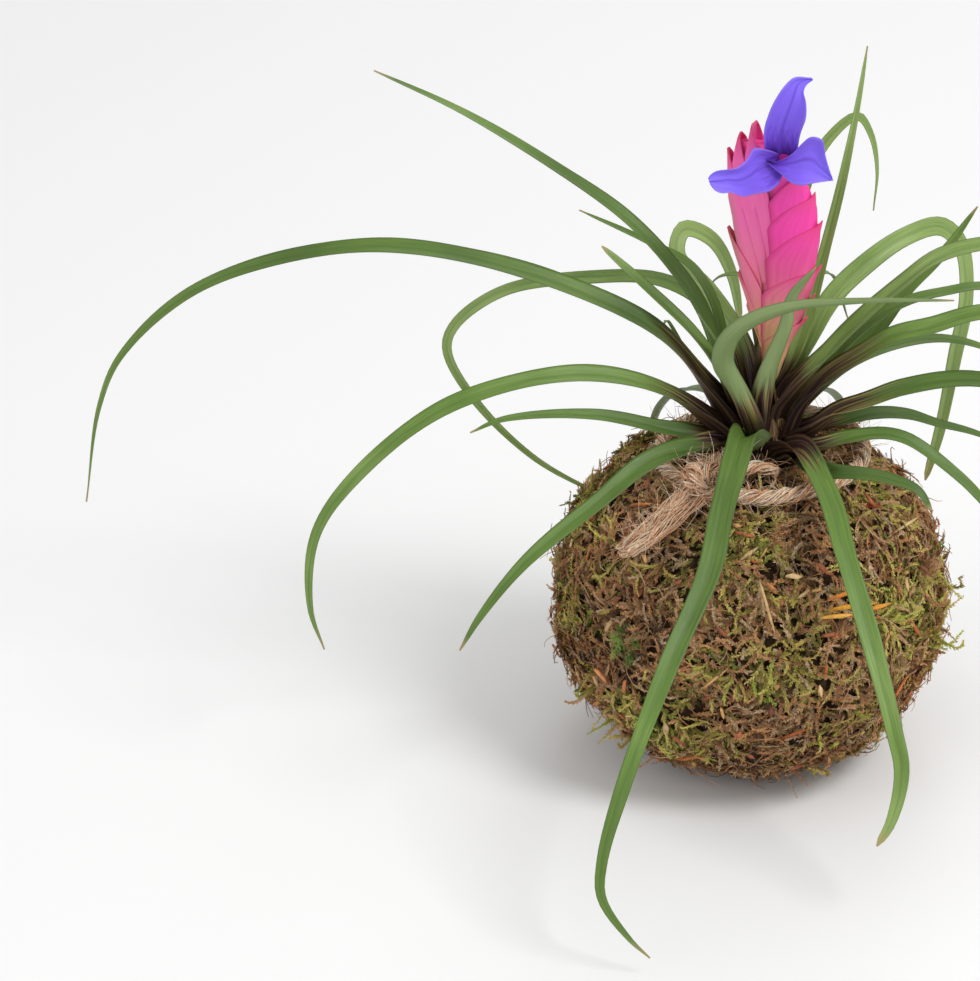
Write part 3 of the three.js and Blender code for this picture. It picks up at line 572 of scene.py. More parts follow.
def spokes(turn):
    """Level unit vectors at these angles."""
    return np.stack([np.cos(turn), np.sin(turn), 0 * turn], -1)


def waves(points, scale, seed):
    """Smooth noise from -1 to 1, with features about as many millimetres across as scale."""
    made = np.random.default_rng(seed)
    total = np.zeros(len(points))
    for _ in range(NOISE_WAVES):
        direction = unit(made.normal(size=3)) * TAU / (scale * made.uniform(0.7, 1.9))
        total += np.sin(points @ direction + made.uniform(0, TAU))
    return np.clip(total / math.sqrt(NOISE_WAVES), -1.0, 1.0)


def layered(points, fields):
    """Several fields of smooth noise together, each with its strength, span and seed."""
    return sum(strength * waves(points, span, seed) for strength, span, seed in fields)


def linked(name, data):
    """A new object in the scene."""
    thing = bpy.data.objects.new(name, data)
    bpy.context.scene.collection.objects.link(thing)
    return thing


class Shell:
    """Gathers triangles, and the values that ride on their vertices, into one piece."""

    def __init__(self):
        self.points = []
        self.triangles = []
        self.values = {}
        self.count = 0

    def add(self, points, triangles, **values):
        self.points.append(points)
        self.triangles.append(triangles + self.count)
        self.count += len(points)
        for key, value in values.items():
            self.values.setdefault(key, []).append(np.broadcast_to(value, (len(points), 3)))

    def build(self, name, material, slot, *nodes):
        points = np.concatenate(self.points) * MM
        points[:, 2] = np.maximum(points[:, 2], 0.0)
        mesh = bpy.data.meshes.new(name)
        mesh.from_pydata(points, [], np.concatenate(self.triangles))
        for key, parts in self.values.items():
            attribute = mesh.attributes.new(key, "FLOAT_VECTOR", "POINT")
            attribute.data.foreach_set("vector", np.concatenate(parts).astype(np.float32).ravel())
        mesh.shade_smooth()
        mesh.materials.append(material)
        piece = linked(name, mesh)
        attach(piece, "root")
        if nodes:
            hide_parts(*nodes)
        return piece


def grid_triangles(rows, columns, closed):
    """Triangles that join a grid of points, round on itself across the columns if closed."""
    spans = columns if closed else columns - 1
    row, column = np.meshgrid(np.arange(rows - 1), np.arange(spans), indexing="ij")
    near = (row * columns + column).ravel()
    side = (row * columns + (column + 1) % columns).ravel()
    first = np.stack([near, side, side + columns], 1)
    second = np.stack([near, side + columns, near + columns], 1)
    return np.concatenate([first, second])


def repeated(triangles, count, points_each):
    """The same triangles for each of count forms whose points follow one another."""
    return (triangles + (np.arange(count) * points_each)[:, None, None]).reshape(-1, 3)


# Curves


def curve_points(points, steps=24):
    """A centripetal Catmull-Rom curve through the points, finely sampled."""
    points = np.asarray(points, float)
    ends = [2 * points[0] - points[1], *points, 2 * points[-1] - points[-2]]
    samples = []
    share = np.linspace(0, 1, steps, endpoint=False)[:, None]
    for a, b, c, d in zip(ends, ends[1:], ends[2:], ends[3:]):
        ab, bc, cd = (math.sqrt(np.linalg.norm(q - p)) for p, q in ((a, b), (b, c), (c, d)))
        leave = ((b - a) / ab - (c - a) / (ab + bc) + (c - b) / bc) * bc
        arrive = ((c - b) / bc - (d - b) / (bc + cd) + (d - c) / cd) * bc
        square = -3 * b + 3 * c - 2 * leave - arrive
        cube = 2 * b - 2 * c + leave + arrive
        samples.append(b + leave * share + square * share**2 + cube * share**3)
    return np.concatenate([*samples, points[-1:]])


def evenly(points, count):
    """count points at even distances along a polyline, and their distances from its start."""
    length = np.concatenate([[0], np.cumsum(np.linalg.norm(np.diff(points, axis=0), axis=1))])
    wanted = np.linspace(0, length[-1], count)
    return np.stack([np.interp(wanted, length, axis) for axis in points.T], 1), wanted


def frames_along(midrib, count, roll, twist):
    """Places, side vectors, up vectors and distances along a curve whose side starts level."""
    places, distance = evenly(curve_points(midrib), count)
    along = unit(np.gradient(places, axis=0))
    side = np.array([-along[0][1], along[0][0], 0.0])
    share = distance / distance[-1]
    angles = roll * smooth(share / ROLL_RAMP) + twist * smooth((share - TWIST_START) / TWIST_LENGTH)
    sides, ups = [], []
    for direction, angle in zip(along, np.radians(angles)):
        side = unit(side - direction * (side @ direction))
        up = np.cross(direction, side)
        sides.append(side * math.cos(angle) + up * math.sin(angle))
        ups.append(up * math.cos(angle) - side * math.sin(angle))
    return places, np.array(sides), np.array(ups), distance


def strands(paths, radii, sides=3):
    """Thin tubes along paths, an array of strands by points by 3, with a radius at each point."""
    count, steps = paths.shape[:2]
    along = unit(np.gradient(paths, axis=1))
    helper = np.where(np.abs(along[..., 2:3]) < 0.8, UP, [1.0, 0.0, 0.0])
    side = unit(np.cross(along, helper))
    up = np.cross(along, side)
    angle = turns(sides)[:, None]
    spoke = side[:, :, None] * np.cos(angle) + up[:, :, None] * np.sin(angle)
    points = paths[:, :, None] + spoke * radii[:, :, None, None]
    return points.reshape(-1, 3), repeated(grid_triangles(steps, sides, True), count, steps * sides)


# Materials


class Nodes:
    """Short names for building one material's nodes."""

    def __init__(self, name):
        self.material = bpy.data.materials.new(name)
        self.material.use_nodes = True
        self.tree = self.material.node_tree
        self.shader = self.tree.nodes["Principled BSDF"].inputs

    def fill(self, socket, value):
        """Links an output to a socket, or sets the socket to a number, a vector or a colour."""
        if isinstance(value, bpy.types.NodeSocket):
            self.tree.links.new(value, socket)
        else:
            socket.default_value = rgba(value) if socket.type == "RGBA" else value

    def add(self, kind, inputs, output=0, **settings):
        node = self.tree.nodes.new("ShaderNode" + kind)
        for key, value in settings.items():
            setattr(node, key, value)
        for key, value in inputs.items():
            self.fill(node.inputs[key], value)
        return node.outputs[output]

    def values(self, attribute):
        return self.add("Attribute", {}, "Vector", attribute_name=attribute)

    def parts(self, attribute):
        return self.add("SeparateXYZ", {0: self.values(attribute)}).node.outputs

    def place(self):
        return self.add("TexCoord", {}, "Object")

    def noise(self, vector, scale, detail=4.0, roughness=0.55):
        inputs = {"Vector": vector, "Scale": scale, "Detail": detail, "Roughness": roughness}
        return self.add("TexNoise", inputs)

    def drawn(self, vector, scale, *grain):
        """Noise drawn out along one way, by a scale for each axis."""
        return self.noise(self.add("Mapping", {"Vector": vector, "Scale": scale}), *grain)

    def ramp(self, value, stops):
        output = self.add("ValToRGB", {0: value})
        elements = output.node.color_ramp.elements
        while len(elements) < len(stops):
            elements.new(0.5)
        for element, (position, colour) in zip(elements, stops):
            element.position = position
            element.color = rgba(colour)
        return output

    def span(self, value, low, high, to_low=0.0, to_high=1.0):
        return self.add("MapRange", {0: value, 1: low, 2: high, 3: to_low, 4: to_high}, clamp=True)

    def swing(self, noise, low, high):
        """The middle of a noise's range, spread from low to high."""
        return self.span(noise, *NOISE_MIDDLE, low, high)

    def plus(self, first, second):
        return self.add("Math", {0: first, 1: second}, operation="ADD")

    def times(self, first, second):
        return self.add("Math", {0: first, 1: second}, operation="MULTIPLY")

    def size(self, value):
        return self.add("Math", {0: value}, operation="ABSOLUTE")

    def mix(self, factor, first, second, kind="MIX"):
        return self.add("Mix", {0: factor, 6: first, 7: second}, 2, data_type="RGBA", blend_type=kind)

    def paint(self, colour, *coats):
        """Lays coats over a colour, each with its share of cover."""
        for cover, coat in coats:
            colour = self.mix(cover, colour, coat)
        return colour

    def finish(self, colour, roughness, bump=None, strength=0.3, distance=0.0003, specular=0.4):
        self.fill(self.shader["Base Color"], colour)
        self.fill(self.shader["Roughness"], roughness)
        self.fill(self.shader["Specular IOR Level"], specular)
        if bump is not None:
            inputs = {"Strength": strength, "Distance": distance, "Height": bump}
            self.fill(self.shader["Normal"], self.add("Bump", inputs))
        return self.material


def leaf_material():
    """Blade holds across, distance and length share. Look holds brown share, tint and underside."""
    n = Nodes("leaf_blade")
    across, _, share = n.parts("Blade")
    brown, tint, under = n.parts("Look")
    streaks, veins, lines = (n.drawn(n.values("Blade"), *grain) for grain in LEAF_GRAINS)
    patches = n.noise(n.place(), 26.0, 2.0, 0.5)
    # Partly painted light and shade: each leaf's tint is set to how lit it looks, as well as to its own
    # green
    level = n.plus(tint, n.swing(patches, -0.16, 0.16))
    level = n.plus(level, n.swing(streaks, -0.1, 0.1))
    level = n.plus(level, n.span(share, 0.2, 0.9, -0.03, 0.16))
    square = n.times(across, across)
    reach = n.plus(brown, n.swing(streaks, -0.22, 0.22))
    colour = n.paint(
        n.ramp(level, LEAF_GREENS),
        (n.span(veins, 0.35, 0.65, 0.0, 0.3), LEAF_VEIN),
        # Painted shade in the middle groove
        (n.span(square, 0.0, 0.06, 0.3, 0.0), LEAF_GROOVE_PAINTED_SHADE),
        (n.times(under, 0.7), LEAF_UNDERSIDE),
        (n.span(square, 0.7, 1.0, 0.0, 0.4), LEAF_RIM),
        (n.span(reach, 0.23, 0.6), n.ramp(lines, LEAF_BASE_STRIPES)),
        (n.span(brown, 0.4, 0.85, 0.0, 0.8), LEAF_FOOT),
        (n.span(share, 0.955, 0.995, 0.0, 0.8), LEAF_DRY_TIP),
    )
    return n.finish(colour, n.swing(streaks, 0.38, 0.52), veins)


def bract_material():
    """Scale holds rank, share along the bract and flank share. Face holds across and height."""
    n = Nodes("bract_scales")
    rank, along, flank = n.parts("Scale")
    across, height, _ = n.parts("Face")
    streaks = n.drawn(n.values("Scale"), (3.0, 0.8, 12.0), 1.0, 2.0, 0.5)
    soft = n.noise(n.place(), 70.0, 2.0, 0.5)
    level = n.plus(height, n.swing(soft, -0.05, 0.05))
    firm = n.span(rank, -0.1, 0.1, 0.35, 1.0)
    centred = n.span(n.size(across), 0.45, 0.1)
    middle = n.times(centred, n.span(level, 0.34, 0.14))
    russet = n.times(n.span(across, 0.3, 0.62), n.span(level, 0.42, 0.24))
    edge = n.times(n.span(across, -0.66, -0.92), n.span(level, 0.85, 0.6))
    colour = n.paint(
        # Partly painted light: the left rank's ramp is lighter than the right's
        n.ramp(level, BRACT_LEFT_RANK_WITH_PAINTED_LIGHT),
        (n.span(rank, -0.1, 0.1), n.ramp(level, BRACT_RIGHT_RANK)),
        (n.times(middle, 0.9), BRACT_MIDDLE),
        (n.times(russet, 0.8), BRACT_RUSSET),
        (n.times(edge, 0.75), BRACT_LEFT_EDGE),
        (n.times(n.span(flank, 0.8, 0.99, 0.0, 0.6), firm), BRACT_MARGIN),
        (n.span(along, 0.84, 1.0, 0.0, 0.75), BRACT_TIP),
        (n.times(n.span(streaks, 0.4, 0.66, 0.0, 0.3), firm), BRACT_STREAK),
    )
    return n.finish(colour, n.swing(soft, 0.4, 0.55), streaks, 0.15, specular=0.35)


def petal_material():
    n = Nodes("petal_skin")
    across, _, share = n.parts("Blade")
    streaks = n.drawn(n.values("Blade"), (6.0, 2.4, 0.0), 1.0, 3.0, 0.6)
    reach = n.size(across)
    colour = n.paint(
        # Painted shade: darker towards the throat
        n.ramp(n.plus(share, n.swing(streaks, -0.07, 0.07)), PETAL_VIOLETS_AND_THROAT_SHADE),
        (n.span(reach, 0.0, 0.13, 0.55, 0.0), PETAL_LINE),
        (n.span(reach, 0.86, 1.0, 0.0, 0.5), PETAL_RIM),
    )
    return n.finish(colour, 0.6, streaks, 0.15, 0.0004, 0.25)


def crown_material():
    n = Nodes("leaf_sheaths")
    streaks = n.drawn(n.values("Blade"), (30.0, 2.0, 0.0), 1.0, 3.0, 0.6)
    return n.finish(n.ramp(streaks, LEAF_BASE_STRIPES), 0.5, streaks, 0.4, 0.0004)


def tinted_material(name, roughness, grain, strength, distance):
    """Takes its colour from the Tint values, with a fine grain over them."""
    n = Nodes(name)
    fine = n.noise(n.place(), grain, 3.0, 0.6)
    colour = n.mix(1.0, n.values("Tint"), n.ramp(fine, GRAIN_TONES), "MULTIPLY")
    return n.finish(colour, roughness, fine, strength, distance, 0.2)


def soil_material():
    n = Nodes("damp_soil")
    crumbs = n.noise(n.place(), 420.0, 6.0, 0.65)
    return n.finish(n.ramp(crumbs, SOIL_BROWNS), 0.95, crumbs, 0.8, 0.0015)


def stalk_material(name, colours):
    n = Nodes(name)
    soft = n.drawn(n.place(), (1, 1, 0.25), 300.0)
    return n.finish(n.ramp(soft, colours), 0.5, soft, 0.2)


# Leaves


def sheet(upper, ups, thick, across, lengthwise, share):
    """A thin closed sheet under a grid of points, with the Blade values that its material reads."""
    rings, columns = across.shape
    lower = upper - ups * thick[..., None]
    points = np.concatenate([upper, lower[:, ::-1]], 1).reshape(-1, 3)
    across = np.concatenate([across, across[:, ::-1]], 1)
    return points, grid_triangles(rings, 2 * columns, True), triples(across, lengthwise, share)


def make_leaf(material, name, full_width, roll, twist, taper, brown_reach, tint, midrib):
    """One strap leaf: a channelled blade that clasps the crown with a wider foot."""
    length = evenly(curve_points(midrib), 2)[1][-1]
    rings = int(FEWEST_RINGS + length / RING_SPACING)
    places, sides, ups, distance = frames_along(midrib, rings, roll, twist)
    foot = places[0]
    root = np.array([foot[0] * ROOT_INSET, foot[1] * ROOT_INSET, ROOT_Z])
    climb = np.linspace(0, 1, ROOT_RINGS, endpoint=False)[:, None]
    places = np.concatenate([root + (foot - root) * climb, places])
    foot_rings = [a[:1].repeat(ROOT_RINGS, 0) for a in (sides, ups, distance)]
    sides, ups, distance = map(np.concatenate, zip(foot_rings, (sides, ups, distance)))
    reach = distance / distance[-1]
    clasp = 1.0 - smooth(distance / CLASP_LENGTH)
    width = full_width * np.minimum(1.0, FOOT_WIDTH_SHARE + FOOT_SPREAD * reach) * (1.0 - reach) ** taper
    width = np.maximum(width * (1.0 + CLASP_WIDENING * clasp), TIP_WIDTH)
    wobble = 1.0 + WOBBLE_SHARE * np.sin(distance * WOBBLE_RATE + tint * 40)
    half = (width * wobble / 2)[:, None]
    cup = (BLADE_CUP * (1 - 0.5 * reach) + CLASP_CUP * clasp)[:, None]
    s = np.linspace(1.0, -1.0, BLADE_COLUMNS)[None] + 0 * half
    lift = half * cup * (CUP_ROUNDNESS * s * s + (1 - CUP_ROUNDNESS) * np.abs(s))
    thick = BLADE_THICKNESS * (1.0 - 0.5 * reach)[:, None] * (1.0 - EDGE_THINNING * s * s)
    upper = places[:, None] + sides[:, None] * (half * s)[..., None] + ups[:, None] * lift[..., None]
    lengthwise = distance[:, None] / 10 + tint * 50
    points, triangles, values = sheet(upper, ups[:, None], thick, s, lengthwise, reach[:, None])
    brown = np.clip(1.0 - distance / brown_reach, 0.0, 1.0)[:, None]
    under = np.repeat([0.0, 1.0], BLADE_COLUMNS)[None]
    shell = Shell()
    shell.add(points, triangles, Blade=values, Look=triples(brown, tint, under))
    shell.build(name + "_blade", material, "leaf", name)


def make_crown():
    """The dark clasping sheaths, as overlapping upright scales round the growing point."""
    shell = Shell()
    rows, columns = CROWN_GRID
    v = np.linspace(0, 1, rows)[:, None]
    s = np.linspace(-1, 1, columns)[None]
    for k in range(CROWN_SCALES):
        spread = (k + 0.5) / CROWN_SCALES
        radius = CROWN_CORE + CROWN_SPREAD * math.sqrt(spread)
        bow = radius * (1 - CROWN_CLOSING * v) + CROWN_BELLY * np.sin(math.pi * v)
        half_turn = (SHEATH_HALF_TURN - SHEATH_NARROWING * v) * (1.0 - v**4) + 0.02
        angle = k * GOLDEN_ANGLE + s * half_turn
        cling = bow + SHEATH_BULGE * (1 - s * s)
        height = CROWN_FLOOR_Z + (CROWN_TOP_Z - CROWN_STEP_DOWN * spread - CROWN_FLOOR_Z) * v
        points = triples(cling * np.cos(angle), cling * np.sin(angle), height)
        values = triples(s * 0.5 + k, height / 10, 0.0)
        shell.add(points, grid_triangles(rows, columns, False), Blade=values)
    thicken(shell.build("crown_sheaths", crown_material(), "crown", "leaf_crown"), SHEATH_THICKNESS)


def thicken(piece, millimetres):
    modifier = piece.modifiers.new("thickness", "SOLIDIFY")
    modifier.thickness = millimetres * MM
    modifier.offset = -1.0


# Flower spike


def spike_half_width(up):
    return np.interp(up, *zip(*SPIKE_OUTLINE))


def add_face(shell, across, out, up, closed, scale):
    """Adds a grid given in the upright spike's own measures, turned, leaned and bowed into place."""
    lean, turn = math.radians(SPIKE_LEAN_DEG), math.radians(SPIKE_TURN_DEG)
    side = across * math.cos(turn) - out * math.sin(turn)
    depth = across * math.sin(turn) + out * math.cos(turn)
    bow = SPIKE_BOW * np.sin(math.pi * up / SPIKE_BOW_LENGTH)
    x = side * math.cos(lean) + up * math.sin(lean) + bow
    points = triples(x, depth, up * math.cos(lean)) + SPIKE_BASE
    face = triples(across / SPIKE_WIDEST, up / SPIKE_TOP, 0.0)
    shell.add(points, grid_triangles(*across.shape, closed), Scale=triples(*scale), Face=face)


def bract(shell, tip, middle, bow):
    """A boat-shaped bract folded along its outer keel, with a free margin from the middle to its tip."""
    tip_across, tip_up = tip
    middle_across, middle_up = middle
    rank = math.copysign(1.0, tip_across)
    rows, columns = BRACT_GRID
    v = np.linspace(0, 1, rows)[:, None]
    u = np.linspace(-1, 1, columns)[None]
    q = np.abs(u)
    down = min(BRACT_LENGTH, tip_up + BRACT_FOOT) * (1 - v)
    up = tip_up - down
    half = spike_half_width(up)
    inset = np.minimum(BRACT_INSET, INSET_SLOPE * down)
    reach = np.minimum(half - inset, abs(tip_across) + TIP_SPREAD * down)
    flare = RIGHT_TIP_FLARE if rank > 0 else LEFT_TIP_FLARE
    keel = rank * (reach + flare * np.exp(-((down / FLARE_REACH) ** 2)))
    climb = np.clip((up - middle_up) / (tip_up - TIP_HEIGHT - middle_up), 0, 1)
    point = smooth((up - tip_up) / TIP_HEIGHT + 1)
    share = (1 - (1 - climb) ** (1 / bow)) * (0.88 + 0.12 * point)
    margin = middle_across + (keel[-1] - middle_across) * share
    across = keel + (margin - keel) * q
    flat = np.clip(np.abs(across) / (half + 0.4), 0, 1)
    crown = SPIKE_HALF_THICKNESS * (0.55 + 0.45 * half / SPIKE_WIDEST) * (1 - flat**2.2) ** 0.8
    stack = STACK_AT_TIP - STACK_SLOPE * down
    belly = BRACT_BELLY * np.sin(math.pi * q) * np.sin(math.pi * v)
    curl = BRACT_CURL * smooth((q - 0.8) / 0.2)
    lip = BRACT_LIP * smooth(q / 0.1)
    out = np.sign(u) * (lip + crown * stack + belly + curl) * smooth(q / 0.12)
    add_face(shell, across, out, up, False, (rank, v, q))


def spike_core(shell):
    """The body inside the bracts, seen only between them."""
    rows, columns = CORE_GRID
    up = np.linspace(1.0, CORE_HEIGHT * SPIKE_TOP, rows)[:, None]
    turn = turns(columns)[None]
    across = spike_half_width(up) * CORE_WIDTH * np.cos(turn)
    out = SPIKE_HALF_THICKNESS * CORE_DEPTH * np.sin(turn)
    add_face(shell, across, out, up, True, (np.sign(across), 0.5, 0.5))


def make_rod(name, line, radii, material, slot, node):
    path = evenly(curve_points(line), ROD_STEPS)[0][None]
    rod = Shell()
    rod.add(*strands(path, np.linspace(*radii, ROD_STEPS)[None], ROD_SIDES))
    rod.build(name, material, slot, node)


def make_spike():
    shell = Shell()
    for row in BRACTS:
        bract(shell, *row)
    spike_core(shell)
    thicken(shell.build("quill_scales", bract_material(), "bract", "quill_bracts"), BRACT_THICKNESS)
    stalk = stalk_material("stalk_skin", STALK_COLOURS)
    tube = stalk_material("flower_tube_skin", TUBE_VIOLETS)
    make_rod("flower_stalk_skin", STALK_LINE, STALK_RADII, stalk, "stalk", "flower_stalk")
    make_rod("flower_tube_skin", FLOWER_TUBE_LINE, TUBE_RADII, tube, "petal", "flower_tube")


def make_petal(material, name, ruffle, edges):
    rings, columns = PETAL_GRID
    left, right = (evenly(curve_points(edge), rings)[0] for edge in edges)
    middle = (left + right) / 2
    distance = np.cumsum(np.linalg.norm(np.gradient(middle, axis=0), axis=1))
    ups = unit(np.cross(unit(np.gradient(middle, axis=0)), left - right))[:, None]
    t = np.linspace(0, 1, rings)[:, None]
    s = np.linspace(1.0, -1.0, columns)[None] + 0 * t
    half = np.linalg.norm(left - right, axis=1)[:, None] / 2
    groove = PETAL_GROOVE * np.exp(-((s / GROOVE_WIDTH) ** 2)) * (1 - t)
    lift = PETAL_CUP * half * s * s - groove
    lift = lift + ruffle * s * s * np.sin(9.5 * t + 2.4 * s + len(name)) * smooth(t / 0.2)
    lift = lift + PETAL_CREASE * np.sin(7.0 * s + 3.0 * t)
    flat = middle[:, None] + (left - right)[:, None] / 2 * s[..., None]
    thick = PETAL_THICKNESS + 0 * s
    upper = flat + ups * lift[..., None]
    points, triangles, values = sheet(upper, ups, thick, s, distance[:, None] / 10, t)
    shell = Shell()
    shell.add(points, triangles, Blade=values)
    shell.build(name + "_skin", material, "petal", name)


# Moss


def ball_profile(count, inset):
    """Radius and height of the ball at even angles, from the flat spot below up to the neck."""
    lowest = -math.asin((BALL_WAIST_Z / BALL_LOWER_DROP) ** (LOWER_FULLNESS / 2))
    highest = math.acos((NECK_RADIUS / BALL_RADIUS) ** (UPPER_FULLNESS / 2))
    angle = np.linspace(lowest, highest, count)
    fullness = np.where(angle > 0, UPPER_FULLNESS, LOWER_FULLNESS)
    rise = np.where(angle > 0, BALL_UPPER_RISE - inset, BALL_LOWER_DROP)
    radius = (BALL_RADIUS - inset) * np.cos(angle) ** (2 / fullness)
    return radius, BALL_WAIST_Z + np.sign(angle) * rise * np.abs(np.sin(angle)) ** (2 / fullness)


def ball_shift(height):
    """The ball bulges more to one side, but not at its foot and neck."""
    level = height / (BALL_WAIST_Z + BALL_UPPER_RISE)
    fade = smooth(level / SHIFT_FADE_FOOT) * smooth((1 - level) / SHIFT_FADE_NECK)
    return fade[:, None] * [BALL_SHIFT_X, 0, 0]


def ball_surface(count, made):
    """Random places, evenly over the ball's area, with outward, upward and sideways directions."""
    radius, z = ball_profile(PROFILE_STEPS, 0.0)
    step_r, step_z = np.gradient(radius), np.gradient(z)
    area = np.cumsum(radius * np.hypot(step_r, step_z))
    area = (area - area[0]) / (area[-1] - area[0])
    steps = np.arange(PROFILE_STEPS)
    pick = np.interp(made.uniform(0, 1, count), area, steps)
    spoke = spokes(made.uniform(0, TAU, count))
    r, height, *run = (np.interp(pick, steps, line) for line in (radius, z, step_r, step_z))
    run = unit(np.stack(run, 1))
    upward = spoke * run[:, :1] + UP * run[:, 1:]
    outward = spoke * run[:, 1:] - UP * run[:, :1]
    places = spoke * r[:, None] + UP * height[:, None]
    relief = MOSS_RELIEF * waves(places, *RELIEF_FIELD) * smooth(height / 12)
    relief = relief * smooth((RELIEF_TOP_Z - height) / 12)
    places = places + outward * relief[:, None] + ball_shift(height)
    return places, outward, upward, np.cross(UP, spoke)


def sprig_paths(places, outward, upward, sideways, made, look):
    """Curved stems that creep over the ball and lift a little at their ends."""
    count = len(places)
    length = made.uniform(*look.length, count)
    heading = waves(places, *HEADING_FIELD) * HEADING_SWING + made.normal(0, look.scatter, count)
    lift = np.radians(made.uniform(*look.lift, count))
    bend = made.normal(0, look.bend, count)
    droop = np.radians(made.uniform(*look.droop, count))
    path = [places - outward * look.depth]
    for share in np.linspace(0, 1, SPRIG_STEPS)[:-1]:
        phi = (heading + bend * share)[:, None]
        theta = (lift - droop * share)[:, None]
        flat = upward * np.cos(phi) + sideways * np.sin(phi)
        step = flat * np.cos(theta) + outward * np.sin(theta)
        path.append(path[-1] + step * (length / (SPRIG_STEPS - 1))[:, None])
    return np.stack(path, 1)


def leaflets(path, outward, made, rows, leaflet):
    """Small pointed leaves on the left, right and upper side of each stem."""
    count, steps = path.shape[:2]
    at = (np.arange(rows) + 0.7) / rows * (steps - 1)
    low = np.clip(at.astype(int), 0, steps - 2)
    share = (at - low)[None, :, None]
    centre = path[:, low] * (1 - share) + path[:, low + 1] * share
    along = unit(path[:, low + 1] - path[:, low])
    rise = outward[:, None] + 0 * along
    side = unit(np.cross(along, rise))
    climb = (at / (steps - 1))[None, :, None]
    size = leaflet * (1.05 - 0.5 * climb**2) * made.uniform(0.75, 1.25, (count, rows, 1))
    corners = []
    upper = (made.choice([-1.0, 1.0]), *UPPER_LEAFLET)
    for sign, spread, lift in ((1.0, *SIDE_LEAFLET), (-1.0, *SIDE_LEAFLET), upper):
        reach = along * made.uniform(0.5, 0.95, (count, rows, 1)) + side * sign * spread
        reach = reach + rise * (lift + made.normal(0, 0.2, (count, rows, 1)))
        across = unit(np.cross(reach, rise + side * 0.3)) * size * LEAFLET_WIDTH
        start = centre + made.normal(0, 0.12, (count, rows, 3))
        corners.append(np.stack([start - across, start + across, start + reach * size], 2))
    points = np.stack(corners, 2).reshape(-1, 3)
    return points, np.arange(len(points)).reshape(-1, 3)


def picked(colours, made, count):
    """count random colours out of a list."""
    return linear(colours)[made.integers(0, len(colours), count)]


def toned(tint):
    """Holds a tint to the brightness of dry moss, and keeps its hue."""
    return tint * np.minimum(1.0, BRIGHTEST / tint.max(axis=1, keepdims=True))


def add_stems(shell, path, outward, tint, made, look):
    """Stems and their leaflets, with painted shade that darkens them at the root and less towards the tip.
    """
    number, steps = path.shape[:2]
    share = np.linspace(0, 1, steps)
    radii = look.radius * (1.0 - STEM_TAPER * share)[None] * made.uniform(0.8, 1.2, (number, 1))
    # Painted shade, darkest at the root of each stem
    climb = (STEM_ROOT_PAINTED_SHADE + STEM_PAINTED_SHADE_RISE * share)[None, :, None, None]
    shade = climb * tint[:, None, None] * np.ones((3, 1))
    shell.add(*strands(path, radii), Tint=toned(shade.reshape(-1, 3)))
    rows = look.rows
    if rows:
        # Painted shade: lower leaflets and the corners at the stem darker, the tip corner lighter
        climb = (LEAFLET_ROOT_PAINTED_SHADE + (np.arange(rows) + 0.5) / rows)[None, :, None, None, None]
        corners = np.reshape(LEAFLET_CORNER_PAINTED_SHADES, (3, 1)) * np.ones((3, 1, 1))
        shade = climb * tint[:, None, None, None] * corners
        tips = leaflets(path, outward, made, rows, look.leaflet)
        shell.add(*tips, Tint=toned(shade.reshape(-1, 3)))


def sprig_tints(places, made):
    """A colour for each sprig: green and olive in patches and a little everywhere, or else brown, with
    painted light making the +X side lighter.
    """
    count = len(places)
    patch = layered(places, PATCH_FIELDS)
    for *centre, reach in GREEN_PATCHES:
        away = np.linalg.norm(places - centre, axis=1) / reach
        patch = patch + PATCH_STRENGTH * np.exp(-(away**2))
    browns, olives, greens = (picked(row, made, count) for row in (MOSS_BROWNS, MOSS_OLIVES, MOSS_GREENS))
    value = (patch + made.normal(0, PATCH_MIXING, count))[:, None]
    tint = np.where(value < OLIVE_FROM, browns, np.where(value < GREEN_FROM, olives, greens))
    tint = tint * made.uniform(*SPRIG_SHADES, (count, 1))
    clumps = 1 + CLUMP_CONTRAST * waves(places, *CLUMP_FIELD)[:, None]
    # Painted light: sprigs grow lighter towards the +X side, which faces the key light
    return tint * clumps * (1 + RIGHT_SIDE_PAINTED_LIGHT * smooth(places[:, :1] / BALL_RADIUS))


def add_sprigs(shell, count, made, look, colours=None):
    surface = ball_surface(count, made)
    keep = np.hypot(*surface[0][:, :2].T) > NECK_RADIUS + 1.0
    surface = [a[keep] for a in surface]
    places, outward = surface[:2]
    path = sprig_paths(*surface, made, look)
    path[..., 2] = np.maximum(path[..., 2], LOWEST_SPRIG)
    tint = picked(colours, made, len(places)) if colours else sprig_tints(places, made)
    add_stems(shell, path, outward, tint, made, look)


def seated(points):
    """Draws points that lie outside the ball in, level, to a little below its surface."""
    level = points[:, 2] - BALL_WAIST_Z
    fullness = np.where(level > 0, UPPER_FULLNESS, LOWER_FULLNESS)
    rise = np.where(level > 0, BALL_UPPER_RISE, BALL_LOWER_DROP)
    sine = np.clip(np.abs(level) / rise, 0, 1) ** (fullness / 2)
    radius = BALL_RADIUS * (1 - sine**2) ** (1 / fullness) - LOOSE_INSET
    flat = (points - ball_shift(points[:, 2])) * [1, 1, 0]
    share = np.minimum(1, radius / np.linalg.norm(flat, axis=1))
    return points - flat * (1 - share)[:, None]


